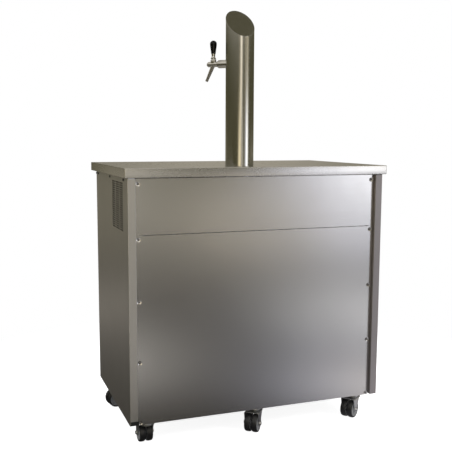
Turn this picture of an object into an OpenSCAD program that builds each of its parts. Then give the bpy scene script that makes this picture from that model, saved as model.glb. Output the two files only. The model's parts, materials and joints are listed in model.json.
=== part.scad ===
// Draft beer dispenser: a two-door keg cooler on castors with a slant-topped tower and one tap.
// X runs along the closed customer side, which faces -Y. Doors face +Y. Z = 0 is the floor.

/* [Worktop] */
// Length of the worktop
worktop_length = 1100; // [1060:1:1160]
// Depth of the worktop from customer side to working side
worktop_depth = 700; // [680:1:760]
// Height of the worktop surface above the floor
worktop_height = 1083; // [1070:1:1130]
// Height of the folded worktop edge
worktop_edge = 36; // [28:1:44]
// Thickness of the worktop sheet
worktop_sheet = 1.5; // [1:0.1:2]
// Width of the lip folded in under the worktop edge
worktop_lip = 9; // [6:0.5:10]

/* [Cabinet] */
// Overhang of the worktop past each side panel
side_overhang = 12; // [11:1:16]
// Overhang of the worktop past the customer side
customer_overhang = 12; // [11:1:20]
// Overhang of the worktop past the doors
working_overhang = 65; // [50:1:70]
// Thickness of the cabinet sheet
sheet = 1.2; // [0.8:0.1:1.5]
// Outer radius of each bend in the sheet
bend_radius = 2.5; // [2:0.5:4]
// Width of the folded post at each customer-side corner
post_width = 32; // [24:1:40]
// How far the screwed panels sit behind the post faces
panel_recess = 16; // [10:1:24]
// Width of the folded post beside each door
door_post_width = 20; // [16:1:24]
// Height of the notch at the foot of the left customer-side post
post_notch = 17; // [8:1:24]

/* [Customer side panels] */
// Height of the upper panel
upper_panel_height = 214; // [190:1:225]
// Width of the dark joint line between the panels
panel_joint = 3; // [2:0.5:5]
// Height of the dark gap between the worktop edge and the customer side
shadow_gap = 3; // [2:0.5:5]
// How far the lower panel hangs below the side panels
panel_drop = 5.5; // [3:0.5:6]
// Distance of the screws from the outer face of the side panel
screw_inset = 44; // [42:1:48]
// Number of screws up each side of the lower panel
lower_screws = 4; // [3:1:6]

/* [Vents] */
// Length of one vent slot
slot_length = 60; // [30:1:61]
// Height of one vent slot
slot_height = 4.6; // [3:0.2:5]
// Spacing between rows of slots
slot_pitch = 8.5; // [7.5:0.5:9]
// Spacing between columns of slots
column_pitch = 70; // [64:1:76]
// Columns of slots in the side vent
vent_columns = 3; // [1:1:3]
// Rows of slots in the side vent
vent_rows = 22; // [8:1:22]

/* [Cooled chamber] */
// Thickness of the foam walls
foam_wall = 38; // [30:1:40]
// Thickness of the inner liner
liner_sheet = 1; // [0.8:0.1:1.5]
// Width of the post between the two doors
mullion_width = 40; // [36:1:60]
// Height of the machine bay between deck and worktop edge
machine_bay = 216; // [205:1:240]
// Air space between the customer side panels and the foam
back_space = 15; // [14:1:24]

/* [Doors] */
// Thickness of each door
door_thickness = 42; // [36:1:46]
// Gap between a door and the post beside it
door_side_gap = 3.5; // [3:0.5:5]
// Gap between the two doors
door_middle_gap = 4; // [4:0.5:8]
// Space between the door frame and the doors, filled by the gasket
gasket_space = 10; // [8:0.5:14]
// Distance of the hinge pins in from the door's edge and face
pin_inset = 8; // [7.5:0.5:10]
// Radius of the hinge pins
hinge_pin_radius = 4; // [3:0.5:4.5]
// Length of the door handles
handle_length = 200; // [120:5:300]
// Radius of the handle bar
handle_radius = 6; // [5:0.5:8]
// Distance from the door face to the middle of the handle bar
handle_stand_off = 32; // [26:1:36]

/* [Tower] */
// Outer diameter of the tower
tower_diameter = 111; // [102:1:120]
// Wall of the tower tube
tower_wall = 2; // [1.5:0.5:3]
// Height of the middle of the slanted top above the worktop
tower_height = 551; // [500:1:600]
// Angle of the slanted top
slant_angle = 45; // [30:1:50]
// Thickness of the plate that closes the top
cap_thickness = 2; // [1.5:0.5:4]
// Distance of the tower axis from the left end of the worktop
tower_from_left = 482; // [400:1:600]
// Distance of the tower axis from the customer edge of the worktop
tower_from_edge = 94; // [92:1:120]

/* [Tap] */
// Height of the tap above the worktop
tap_height = 399; // [350:1:450]
// Direction of the tap, turned from +X towards +Y
tap_azimuth = 135; // [90:1:180]
// Radius of the round collar against the tower
collar_radius = 16; // [13:0.5:18]
// Distance from the tower axis to the end of the collar
collar_end = 94.5; // [84:0.5:104]
// Radius of the tap body
tap_radius = 10.5; // [9.5:0.5:12]
// Length of the tap body from collar to nose
tap_length = 48; // [44:0.5:54]
// Distance of the lever from the collar
lever_place = 20; // [17:0.5:24]
// Height of the lever pivot above the tap axis
pivot_rise = 12; // [11.5:0.5:14]
// Height of the lever above the tap axis up to the knob
lever_height = 41.5; // [38:0.5:60]
// Height of the knob
knob_height = 51; // [44:1:60]
// Largest radius of the knob
knob_radius = 13.5; // [11:0.5:16]
// Angle of the spout from the vertical
spout_angle = 25.5; // [15:0.5:30]
// Length of the spout from the tap axis
spout_length = 72.5; // [55:0.5:80]
// Radius of the spout where it leaves the body
spout_root = 8.2; // [7:0.1:9.4]
// Radius of the spout at its end
spout_tip = 5.4; // [5:0.1:6.4]

/* [Castors] */
// Diameter of the wheels
wheel_diameter = 75; // [60:1:77]
// Width of one wheel of the pair
wheel_width = 24; // [18:1:25]
// Gap between the two wheels of a pair
wheel_gap = 6; // [4:1:8]
// Distance from the swivel axis back to the wheel axle
trail = 34; // [28:1:36]
// Height from the floor to the underside of the cabinet
castor_height = 104; // [103:1:112]
// Distance of the end castors in from the outer face of each side panel
castor_inset = 78; // [76:1:110]
// Radius of the wheel axle
axle_radius = 5; // [4:0.5:6]

/* [Hidden] */
$fn = 48;

// Clearances
seat = 0.3;
running = 0.06;
sliding = 0.08;
cut = 1;

// Planes of the cabinet
side_x = worktop_length / 2 - side_overhang;
back_y = -worktop_depth / 2 + customer_overhang;
front_y = worktop_depth / 2 - working_overhang;
bottom_z = castor_height;
top_z = worktop_height - worktop_edge;
panel_y = back_y + panel_recess;
flange_y = panel_y + sheet;
joint_z = top_z - upper_panel_height;
deck_z = top_z - machine_bay;
wall_x = side_x - sheet;
fold_inside = bend_radius - sheet;
fold_room = (1 - sqrt(0.5)) * fold_inside + sqrt(0.5) * seat;
panel_fold = 10;
post_flange = 26;
side_flange = 17;

// Planes of the doors and the cooled chamber
door_back_y = front_y - door_thickness;
frame_y = door_back_y - gasket_space;
opening_x = side_x - door_post_width;
door_edge_x = opening_x - door_side_gap;
door_bottom_z = bottom_z + 1;
bracket_sheet = 4;
door_top_z = deck_z - sheet - bracket_sheet - 1;
pin_x = door_edge_x - pin_inset;
pin_y = front_y - pin_inset;
rail_height = 30;
foam_z = bottom_z + rail_height;
foam_back_y = flange_y + sheet + back_space;
foam_x = wall_x - seat;
foam_front_y = frame_y - liner_sheet - seat;
foam_top_z = deck_z - sheet - seat;
hollow_x = foam_x - foam_wall;
hollow_back_y = foam_back_y + foam_wall;
hollow_z = foam_z + foam_wall;
hollow_top_z = foam_top_z - foam_wall;
liner_x = hollow_x - seat;
liner_back_y = hollow_back_y + seat;
liner_z = hollow_z + seat;
liner_top_z = hollow_top_z - seat;

// Tower and lines
tower_x = -worktop_length / 2 + tower_from_left;
tower_y = -worktop_depth / 2 + tower_from_edge;
tower_radius = tower_diameter / 2;
tower_bore = tower_radius - tower_wall;
slant_z = worktop_height + tower_height;
tap_z = worktop_height + tap_height;
base_ring_height = 12;
base_ring_width = 10;
clamp_screw = 3;
clamp_pcd = 2 * (tower_bore - base_ring_width / 2);
line_radius = 4.75;
line_bend = 24;
line_offset = 10;
tail_start = line_offset + line_bend;
tail_insert = 12;
sleeve_radius = 15;
line_x = tower_x + line_offset * cos(tap_azimuth);
line_y = tower_y + line_offset * sin(tap_azimuth);
shank_radius = 8;
thread_clearance = 0.2;
tap_bore = 3.5;
plunger_radius = 5;
plunger_bore = plunger_radius + sliding;
ear_gap = 4.4;
ear_width = 3.5;
ear_radius = 7.5;
pivot_pin = 2.5;
arm_ball = 2.6;
pivot_s = collar_end + lever_place;
spout_s = pivot_s - 1;
knob_stud = 3;

// Castors: place of each swivel axis and the direction in which its wheels trail at rest
castor_spread = side_x - castor_inset;
castor_back_y = flange_y + sheet + 43;
castor_front_y = foam_front_y - 53;
castors = [[-castor_spread, castor_back_y, 90], [0, castor_back_y, 231], [castor_spread, castor_back_y, 216],
    [-castor_spread, castor_front_y, 192], [0, castor_front_y, 130], [castor_spread, castor_front_y, 300]];
wheel_radius = wheel_diameter / 2;
plate_sheet = 4;
plate_length = 95;
plate_width = 67;
bolt_spacing_x = 75;
bolt_spacing_y = 45;
bolt_radius = 4;
bolt_head = 5.3;
bolt_hexagon = 7;
bolt_length = 20;
nut_height = 6;
rail_wall = 2;
cross_rail = 40;
crown_z = castor_height - 22;
crown_sheet = 4;
fork_sheet = 3;
leg_inner = wheel_width + wheel_gap / 2 + 1;
leg_outer = leg_inner + fork_sheet;
kingpin_radius = 6;
race_radius = 22;

// Machine bay
vent_y = back_y + 177;
vent_z = deck_z + 103;
condenser_depth = 48;
condenser_x = -wall_x + 6;
condenser_width = 200;
condenser_height = 196;
shroud_x = condenser_x + condenser_depth + seat;
shroud_depth = 50;
fan_radius = 82;
fan_depth = 22;
fan_gap = 10;
hub_radius = 22;
motor_x = shroud_x + shroud_depth;
shaft_radius = 3;
motor_length = 38;
motor_radius = 33;
compressor_gap = 14;
compressor_foot = 85;
compressor_x = motor_x + motor_length + compressor_gap + compressor_foot;
compressor_y = vent_y + 21;
compressor_radius = 75;
compressor_z = deck_z + 14;
pipe_radius = 4;
joint_wall = 0.8;
liquid_x = motor_x + 32.5;
suction_x = motor_x + 7.5;
plate_sheet_cold = 1.5;
riser_y = liner_back_y + liner_sheet + seat + plate_sheet_cold + pipe_radius - 0.5;
riser_z = liner_top_z - 75;
rear_pipe_y = flange_y + sheet + 26;
gland_y = back_y + 80;
gland_z = deck_z + 40;
gland_radius = 10;
thermostat_x = opening_x - 218;
switch_x = opening_x - 118;
control_z = deck_z + 130;

// Points and headings along a path whose corners are right angles, each corner an arc
function heading(a, b) = (b - a) / norm(b - a);
function corner(p, u, v, r, n) = [for (i = [0:n]) let (f = 90 * i / n)
    [p - u * r + v * r + r * (u * sin(f) - v * cos(f)), u * cos(f) + v * sin(f)]];
function bent_line(path, r, n) = let (last = len(path) - 1) concat(
    [[path[0], heading(path[0], path[1])]],
    [for (k = [1:last - 1]) each corner(path[k], heading(path[k - 1], path[k]),
        heading(path[k], path[k + 1]), r, n)],
    [[path[last], heading(path[last - 1], path[last])]]);

// Outline of a bent sheet whose outer side follows the path, with the sheet on the left of it
function bent_outline(path, t, r, n = 4) = let (line = bent_line(path, r, n)) concat(
    [for (q = line) q[0]],
    [for (i = [len(line) - 1:-1:0]) line[i][0] + t * [-line[i][1][1], line[i][1][0]]]);

module bent_sheet(path, t, length) {
    linear_extrude(length) polygon(bent_outline(path, t, bend_radius));
}

module box(low, high) {
    translate(low) cube(high - low);
}

// Flat slot with round ends, lying along X and standing up along Z
module obround(length, height) {
    square([length - height, height], center = true);
    for (side = [-1, 1]) translate([side * (length - height) / 2, 0]) circle(d = height, $fn = 24);
}

module slot_field(columns, rows, depth) {
    for (c = [0:columns - 1], r = [0:rows - 1])
        translate([(c - (columns - 1) / 2) * column_pitch, 0, (r - (rows - 1) / 2) * slot_pitch])
            rotate([90, 0, 0]) linear_extrude(depth, center = true) obround(slot_length, slot_height);
}

module rod(a, b, r) {
    d = b - a;
    translate(a) rotate([0, acos(d[2] / norm(d)), atan2(d[1], d[0])]) cylinder(r = r, h = norm(d));
}

// Tube run through a list of points, with a soldered elbow at each corner
module pipe_run(points, r) {
    for (i = [0:len(points) - 2]) rod(points[i], points[i + 1], r);
    for (i = [1:len(points) - 2]) translate(points[i]) sphere(r = r + joint_wall);
}

// Sleeve round a joint of two tubes that lie along X
module joint_sleeve(p) {
    translate(p) rotate([0, 90, 0]) cylinder(r = pipe_radius + joint_wall, h = 10, center = true);
}

module ring(outer, inner, h) {
    difference() {
        cylinder(r = outer, h = h);
        translate([0, 0, -cut]) cylinder(r = inner, h = h + 2 * cut);
    }
}

module at_tap() {
    translate([tower_x, tower_y, tap_z]) rotate(tap_azimuth) children();
}

// Lathe about the tap axis: the profile holds radius and distance from the tower axis
module tap_lathe() {
    rotate([0, 90, 0]) rotate_extrude() children();
}

module at_castor(i) {
    translate([castors[i][0], castors[i][1], 0]) rotate(castors[i][2]) children();
}

// Panel screws: rows up the sides of the lower panel and one near each top corner of the upper panel
lower_top_z = joint_z - panel_joint;
lower_bottom_z = bottom_z - panel_drop;
screw_x = side_x - screw_inset;
lower_screw_top = lower_top_z - 14;
lower_screw_step = (lower_screw_top - lower_bottom_z - 8) / (lower_screws - 1);
screw_heights = concat([top_z - 23], [for (i = [0:lower_screws - 1]) lower_screw_top - i * lower_screw_step]);
screw_radius = 2;
screw_head = 4.5;
dimple_radius = 9;
dimple_depth = 1.4;

module at_screws(low, high) {
    for (side = [-1, 1], z = screw_heights)
        if (z > low && z < high) translate([side * screw_x, panel_y, z]) rotate([-90, 0, 0]) children();
}

// Sheet pressed in round a screw
module dimple() {
    rotate_extrude() polygon([[screw_radius + thread_clearance, dimple_depth],
        [screw_head, dimple_depth], [dimple_radius, 0], [dimple_radius, sheet],
        [screw_head, dimple_depth + sheet], [screw_radius + thread_clearance, dimple_depth + sheet]]);
}

// Floor frame
module base_frame() {
    rail_half = plate_width / 2 + 4;
    half_x = wall_x - side_flange - seat;
    wall = rail_wall;
    foot_set = 2;
    color("dimgray") difference() {
        union() {
            for (y = [castor_back_y, castor_front_y]) difference() {
                box([-half_x, y - rail_half, bottom_z], [half_x, y + rail_half, foam_z - sheet]);
                box([-half_x - cut, y - rail_half + wall, bottom_z + wall],
                    [half_x + cut, y + rail_half - wall, foam_z]);
            }
            for (x = [-half_x, -cross_rail / 2, half_x - cross_rail]) difference() {
                box([x, castor_back_y, bottom_z], [x + cross_rail, castor_front_y, foam_z - sheet]);
                box([x + wall, castor_back_y - cut, bottom_z + wall],
                    [x + cross_rail - wall, castor_front_y + cut, foam_z]);
            }
            box([-half_x, foam_back_y, foam_z - sheet], [half_x, foam_front_y, foam_z]);
            box([-side_x + sheet + 1 + seat, back_y + foot_set, bottom_z],
                [-panel_half - 2 * seat, flange_y, bottom_z + post_notch - 2 * seat]);
            box([-half_x, flange_y - cut, bottom_z],
                [-panel_half - 2 * seat, castor_back_y - rail_half + wall, bottom_z + post_notch - 2 * seat]);
        }
        for (i = [0:5], sx = [-1, 1], sy = [-1, 1])
            translate([castors[i][0] + sx * bolt_spacing_x / 2, castors[i][1] + sy * bolt_spacing_y / 2,
                bottom_z - cut]) cylinder(r = bolt_radius + seat, h = wall + 2 * cut);
        at_screws(lower_bottom_z, bottom_z + rail_height) cylinder(r = screw_radius + thread_clearance, h = 20);
    }
}

// Side panels: one sheet folded round the post of each corner
module side_sheet(notch) {
    difference() {
        union() {
            translate([0, 0, bottom_z]) bent_sheet([[-opening_x, frame_y], [-opening_x, front_y],
                [-side_x, front_y], [-side_x, back_y], [-side_x + post_width, back_y],
                [-side_x + post_width, flange_y], [-side_x + post_width + post_flange, flange_y]],
                sheet, top_z - bottom_z);
            for (z = [bottom_z, top_z - sheet])
                box([-wall_x - sheet / 2, flange_y + sheet + 1, z],
                    [-wall_x + side_flange, front_y - 2 * sheet, z + sheet]);
        }
        if (notch > 0)
            box([-side_x + sheet + 1, back_y - cut, bottom_z - cut],
                [-side_x + post_width + post_flange + cut, flange_y + sheet + seat, bottom_z + notch]);
        box([-side_x + bend_radius, back_y - cut, top_z - shadow_gap],
            [-side_x + post_width + post_flange + cut, flange_y + sheet + seat, top_z + cut]);
        for (z = screw_heights) translate([-screw_x, flange_y, z]) rotate([90, 0, 0])
            cylinder(r = dimple_radius, h = 8, center = true);
        side_holes();
    }
    for (z = screw_heights) if (z > bottom_z + notch + dimple_radius)
        translate([-screw_x, flange_y, z]) rotate([-90, 0, 0]) dimple();
}

bolt_rows = [back_y + 60, (back_y + front_y) / 2 + 3.5, front_y - 51, front_y - 13];
side_bolt_z = top_z - 9;
side_bolt_radius = 2.5;
side_bolt_length = 10;
side_bolt_head = 5;
side_bolt_rise = 4.4;

module side_holes() {
    for (y = bolt_rows) translate([-side_x - cut, y, side_bolt_z]) rotate([0, 90, 0])
        cylinder(r = side_bolt_radius + thread_clearance, h = 2 * cut + sheet);
}

module side_panel_left() {
    color("silver") difference() {
        side_sheet(post_notch);
        translate([-side_x, vent_y, vent_z]) rotate([0, 0, 90])
            slot_field(vent_columns, vent_rows, 3 * sheet);
    }
}

module side_panel_right() {
    color("silver") difference() {
        mirror([1, 0, 0]) side_sheet(0);
        translate([side_x, gland_y, gland_z]) rotate([0, 90, 0])
            cylinder(r = gland_radius + seat, h = 4 * sheet, center = true);
    }
}

// Customer side panels
panel_half = side_x - post_width - bend_radius - seat;
joint_half = screw_x - 6;
turned_half = side_x - post_width - post_flange - seat;
panel_top = top_z - shadow_gap;

module rear_panel_upper() {
    color("silver") {
        difference() {
            box([-panel_half, panel_y, joint_z - panel_joint + seat], [panel_half, flange_y, panel_top]);
            box([-joint_half, panel_y - cut, joint_z - panel_joint - cut],
                [joint_half, flange_y + cut, joint_z]);
            at_screws(joint_z, top_z) translate([0, 0, -cut]) cylinder(r = dimple_radius, h = 2 * cut + sheet);
        }
        at_screws(joint_z, top_z) dimple();
        box([-turned_half, panel_y, joint_z], [turned_half, panel_y + panel_fold, joint_z + sheet]);
    }
}

module rear_panel_lower() {
    color("silver") {
        difference() {
            box([-panel_half, panel_y, lower_bottom_z], [panel_half, flange_y, lower_top_z]);
            at_screws(lower_bottom_z, lower_top_z) translate([0, 0, -cut])
                cylinder(r = dimple_radius, h = 2 * cut + sheet);
        }
        intersection() {
            at_screws(lower_bottom_z, lower_top_z) dimple();
            box([-side_x, back_y, lower_bottom_z], [side_x, 0, lower_top_z]);
        }
        box([-turned_half, panel_y, lower_top_z - sheet], [turned_half, panel_y + panel_fold, lower_top_z]);
        box([-turned_half, panel_y, lower_bottom_z], [turned_half, panel_y + 12, lower_bottom_z + sheet]);
    }
}

module panel_screws() {
    color("gainsboro") at_screws(lower_bottom_z, top_z) rotate_extrude()
        polygon([[0, dimple_depth - 2.2], [2, dimple_depth - 1.9], [3.6, dimple_depth - 1.1],
            [screw_head - 0.2, dimple_depth - seat], [screw_radius, dimple_depth - seat],
            [screw_radius, 13], [0, 15]]);
}

module side_bolts() {
    color("black") for (side = [-1, 1], y = bolt_rows)
        translate([side * side_x, y, side_bolt_z]) rotate([0, side * 90, 0]) rotate_extrude()
            polygon([[0, -side_bolt_length], [side_bolt_radius, -side_bolt_length], [side_bolt_radius, seat],
                [side_bolt_head, seat], [0.92 * side_bolt_head, 0.6 * side_bolt_rise],
                [0.6 * side_bolt_head, 0.9 * side_bolt_rise], [0, side_bolt_rise]]);
}

// Worktop
module worktop() {
    half_x = worktop_length / 2;
    half_y = worktop_depth / 2;
    color("silver") difference() {
        box([-half_x, -half_y, top_z], [half_x, half_y, worktop_height]);
        box([-half_x + worktop_sheet, -half_y + worktop_sheet, top_z + worktop_sheet],
            [half_x - worktop_sheet, half_y - worktop_sheet, worktop_height - worktop_sheet]);
        box([-half_x + worktop_lip, -half_y + worktop_lip, top_z - cut],
            [half_x - worktop_lip, half_y - worktop_lip, top_z + 2 * worktop_sheet]);
        translate([tower_x, tower_y, worktop_height - worktop_sheet - cut])
            cylinder(r = tower_radius + seat, h = worktop_sheet + 2 * cut);
    }
}

hole_radius = sleeve_radius + line_offset + 5;
board_top = worktop_height - worktop_sheet;

module line_hole() {
    translate([tower_x, tower_y, top_z - cut]) cylinder(r = hole_radius, h = worktop_edge + 2 * cut);
    at_clamp_screws() translate([0, 0, top_z - cut])
        cylinder(r = clamp_screw + seat, h = worktop_edge + 2 * cut);
}

module at_clamp_screws() {
    for (a = [30, 150, 270]) translate([tower_x + clamp_pcd / 2 * cos(a), tower_y + clamp_pcd / 2 * sin(a), 0])
        children();
}

module worktop_board() {
    color("burlywood") difference() {
        box([-worktop_length / 2 + worktop_lip + seat, -worktop_depth / 2 + worktop_lip + seat, top_z],
            [worktop_length / 2 - worktop_lip - seat, worktop_depth / 2 - worktop_lip - seat, board_top]);
        line_hole();
    }
}

// Foam walls of the cooled chamber
module insulation() {
    color("khaki") difference() {
        box([-foam_x, foam_back_y, foam_z], [foam_x, foam_front_y, foam_top_z]);
        box([-hollow_x, hollow_back_y, hollow_z], [hollow_x, frame_y + cut, hollow_top_z]);
        ceiling_holes();
    }
}

module ceiling_holes() {
    translate([line_x, line_y, hollow_top_z - 3]) cylinder(r = line_radius + seat, h = 3 * foam_wall);
    for (x = [liquid_x, suction_x]) translate([x, riser_y, hollow_top_z - 3])
        cylinder(r = pipe_radius + seat, h = 3 * foam_wall);
}

// Inner liner with its flange behind the doors
module inner_liner() {
    color("silver") difference() {
        union() {
            box([-liner_x, liner_back_y, liner_z], [liner_x, frame_y, liner_top_z]);
            box([-opening_x + seat, frame_y - liner_sheet, bottom_z + 2],
                [opening_x - seat, frame_y, foam_top_z]);
        }
        box([-liner_x + liner_sheet, liner_back_y + liner_sheet, liner_z + liner_sheet],
            [liner_x - liner_sheet, frame_y + cut, liner_top_z - liner_sheet]);
        ceiling_holes();
    }
}

module machine_deck() {
    color("gainsboro") difference() {
        translate([0, 0, deck_z - sheet]) linear_extrude(sheet) polygon([[-foam_x, panel_y + panel_fold + seat],
            [foam_x, panel_y + panel_fold + seat], [foam_x, frame_y - seat], [opening_x - seat, frame_y - seat],
            [opening_x - seat, front_y - sheet - seat], [-opening_x + seat, front_y - sheet - seat],
            [-opening_x + seat, frame_y - seat], [-foam_x, frame_y - seat]]);
        ceiling_holes();
    }
}

// Upper front on the working side, with its air slots and the two controls
module front_fascia() {
    half = opening_x - seat;
    low = deck_z + seat;
    high = top_z - seat;
    depth = 20;
    color("silver") difference() {
        union() {
            translate([0, 0, low]) bent_sheet([[half, front_y - depth], [half, front_y],
                [-half, front_y], [-half, front_y - depth]], sheet, high - low);
            box([-half + sheet, front_y - depth, low], [half - sheet, front_y - sheet / 2, low + sheet]);
        }
        translate([compressor_x, front_y, vent_z]) slot_field(vent_columns, vent_rows - 4, 3 * sheet);
        translate([thermostat_x, front_y, control_z]) rotate([90, 0, 0])
            cylinder(r = 5 + seat, h = 4 * sheet, center = true);
        box([switch_x - 14 - seat, front_y - 2 * sheet, control_z - 11 - seat],
            [switch_x + 14 + seat, front_y + cut, control_z + 11 + seat]);
    }
}

module mullion() {
    low = liner_z + liner_sheet + seat;
    high = liner_top_z - liner_sheet - seat;
    depth = 28;
    color("silver") translate([0, 0, low]) bent_sheet([[mullion_width / 2, frame_y - depth],
        [mullion_width / 2, frame_y], [-mullion_width / 2, frame_y],
        [-mullion_width / 2, frame_y - depth]], sheet, high - low);
}

// Hinge brackets with their pins, above and below each door
pin_length = 14;

module hinge_bracket() {
    difference() {
        union() {
            translate([pin_x, pin_y, 0]) cylinder(r = pin_inset - 1, h = bracket_sheet);
            box([pin_x - pin_inset + 1, frame_y + 2, 0], [pin_x + pin_inset - 1, pin_y, bracket_sheet]);
        }
        translate([pin_x, frame_y + 14, -cut]) cylinder(r = 2.5, h = bracket_sheet + 2 * cut);
    }
}

module hinge_brackets() {
    color("gray") for (side = [0, 1]) mirror([side, 0, 0]) {
        translate([0, 0, bottom_z - bracket_sheet]) {
            hinge_bracket();
            box([pin_x, frame_y + 2, 0], [wall_x - 2, frame_y + 30, bracket_sheet]);
            translate([pin_x, pin_y, bracket_sheet / 2])
                cylinder(r = hinge_pin_radius, h = bracket_sheet / 2 + pin_length);
        }
        translate([0, 0, deck_z - sheet - bracket_sheet]) {
            hinge_bracket();
            translate([pin_x, pin_y, -pin_length]) cylinder(r = hinge_pin_radius, h = pin_length + 1);
        }
    }
}

// Left door; the right door is its mirror image
module door_skin() {
    left = -door_edge_x;
    right = -door_middle_gap / 2;
    color("silver") difference() {
        union() {
            translate([0, 0, door_bottom_z]) bent_sheet([[right, door_back_y], [right, front_y],
                [left, front_y], [left, door_back_y]], sheet, door_top_z - door_bottom_z);
            for (z = [door_bottom_z, door_top_z - sheet])
                box([left + sheet / 2, door_back_y, z], [right - sheet / 2, front_y - sheet / 2, z + sheet]);
            for (z = [door_bottom_z, door_top_z - pin_length - 3])
                translate([-pin_x, pin_y, z]) cylinder(r = pin_inset - sheet / 2, h = pin_length + 3);
        }
        for (z = [door_bottom_z - cut, door_top_z - pin_length])
            translate([-pin_x, pin_y, z]) cylinder(r = hinge_pin_radius + running, h = pin_length + cut);
        door_handle_holes();
    }
}

handle_z = (door_top_z + door_bottom_z) / 2 + 80;
handle_x = -door_middle_gap / 2 - 45;
handle_post = handle_length / 2 - 20;

module door_handle_holes() {
    for (side = [-1, 1]) translate([handle_x, front_y + cut, handle_z + side * handle_post])
        rotate([90, 0, 0]) cylinder(r = 3 + seat, h = 2 * cut + sheet);
}

module door_inner() {
    left = -door_edge_x + sheet + fold_room;
    right = -door_middle_gap / 2 - sheet - fold_room;
    low = door_bottom_z + sheet + seat;
    high = door_top_z - sheet - seat;
    color("whitesmoke") difference() {
        box([left, door_back_y, low], [right, front_y - sheet - fold_room, high]);
        for (z = [low - cut, high - pin_length - 3])
            translate([-pin_x, pin_y, z]) cylinder(r = pin_inset + seat, h = pin_length + 4);
        box([left - cut, pin_y, low - cut], [-pin_x, front_y, low + pin_length + 3]);
        box([left - cut, pin_y, high - pin_length - 3], [-pin_x, front_y, high + cut]);
        for (side = [-1, 1]) translate([handle_x, front_y, handle_z + side * handle_post])
            rotate([90, 0, 0]) cylinder(r = 8, h = 14);
        gasket_frame(gasket_width / 2 - 2.2 - seat, 4.4 + 2 * seat, door_back_y - cut, door_back_y + 5 + seat);
    }
}

gasket_width = 12;
gasket_inset = 6;

// Frame of the given width, set in from the door's edge, between two planes of Y
module gasket_frame(inset, width, y0, y1) {
    left = -door_edge_x + gasket_inset + inset;
    right = -door_middle_gap / 2 - gasket_inset - inset;
    low = door_bottom_z + gasket_inset + inset;
    high = door_top_z - gasket_inset - inset;
    difference() {
        box([left, y0, low], [right, y1, high]);
        box([left + width, y0 - cut, low + width], [right - width, y1 + cut, high - width]);
    }
}

module door_gasket() {
    color("dimgray") {
        gasket_frame(0, gasket_width, door_back_y - 3, door_back_y - seat);
        gasket_frame(2, gasket_width - 4, frame_y + seat, door_back_y - 3);
        gasket_frame(gasket_width / 2 - 2.2, 4.4, door_back_y - seat, door_back_y + 5);
    }
}

module door_handle() {
    color("lightgray") {
        translate([handle_x, front_y + handle_stand_off, handle_z - handle_length / 2])
            cylinder(r = handle_radius, h = handle_length);
        for (side = [-1, 1]) translate([handle_x, front_y + handle_stand_off,
            handle_z + side * handle_length / 2]) sphere(r = handle_radius);
        for (side = [-1, 1]) translate([handle_x, front_y + handle_stand_off, handle_z + side * handle_post])
            rotate([90, 0, 0]) {
                cylinder(r = handle_radius - 1, h = handle_stand_off);
                cylinder(r = 3, h = handle_stand_off + 12);
            }
    }
}

module door_left_skin() { door_skin(); }
module door_left_inner() { door_inner(); }
module door_left_gasket() { door_gasket(); }
module door_left_handle() { door_handle(); }
module door_right_skin() { mirror([1, 0, 0]) door_skin(); }
module door_right_inner() { mirror([1, 0, 0]) door_inner(); }
module door_right_gasket() { mirror([1, 0, 0]) door_gasket(); }
module door_right_handle() { mirror([1, 0, 0]) door_handle(); }

// Controls
module thermostat() {
    color("ivory") translate([thermostat_x, 0, control_z]) {
        box([-22, front_y - sheet - seat - 40, -20], [22, front_y - sheet - seat, 20]);
        translate([0, front_y - 2, 0]) rotate([-90, 0, 0]) cylinder(r = 3, h = 12);
    }
}

module thermostat_knob() {
    color("black") translate([thermostat_x, front_y + seat, control_z]) rotate([-90, 0, 0]) difference() {
        union() {
            cylinder(r = 18, h = 4);
            translate([0, 0, 4]) cylinder(r1 = 15.5, r2 = 14, h = 11);
            box([-2, 13, 10], [2, 17, 15]);
        }
        translate([0, 0, -cut]) cylinder(r = 3 + running, h = 11);
    }
}

module power_switch() {
    color("black") difference() {
        union() {
            box([switch_x - 16, front_y + 0.1, control_z - 13], [switch_x + 16, front_y + 2, control_z + 13]);
            box([switch_x - 14, front_y - 22, control_z - 11], [switch_x + 14, front_y + 1, control_z + 11]);
        }
        box([switch_x - 11, front_y - 8, control_z - 8.5], [switch_x + 11, front_y + 3, control_z + 8.5]);
        translate([switch_x, front_y - 1, control_z]) rotate([0, 90, 0])
            cylinder(r = rocker_pin + running, h = 25, center = true);
    }
}

rocker_tilt = 7;
rocker_pin = 1.5;

// Rocker: a shallow V on a cross pin, drawn with its lower half pressed in
module switch_rocker() {
    color("firebrick") translate([switch_x, front_y - 1, control_z]) rotate([-rocker_tilt, 0, 0]) {
        rotate([90, 0, 90]) linear_extrude(20, center = true)
            polygon([[-5, -6.5], [1.8, -7.6], [3.2, -7.2], [2.1, 0], [3.2, 7.2], [1.8, 7.6], [-5, 6.5]]);
        rotate([0, 90, 0]) cylinder(r = rocker_pin, h = 24, center = true);
    }
}

module cable_gland() {
    color("black") translate([side_x, gland_y, gland_z]) rotate([0, 90, 0]) difference() {
        union() {
            translate([0, 0, -16]) cylinder(r = gland_radius, h = 17);
            translate([0, 0, 0.05]) cylinder(r = 14, h = 5, $fn = 6);
            translate([0, 0, 5]) rotate_extrude() polygon([[0, 0], [12, 0], [12, 3], [8.5, 6.5], [0, 6.5]]);
            translate([0, 0, -sheet - 7.05]) cylinder(r = 15, h = 7, $fn = 6);
        }
        translate([0, 0, -17]) cylinder(r = 4.5, h = 30);
    }
}

// Compressor: two pressed half shells joined by a flange, on a foot plate with four grommets. The pipes
// are soldered to two stubs on its customer side
shell_top = 150;
discharge_offset = -20;
discharge_rise = 70;
return_offset = 45;
return_rise = 52;
stub_length = 14;
grommet_x = 72;
grommet_y = 50;
grommet_radius = 11;

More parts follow.
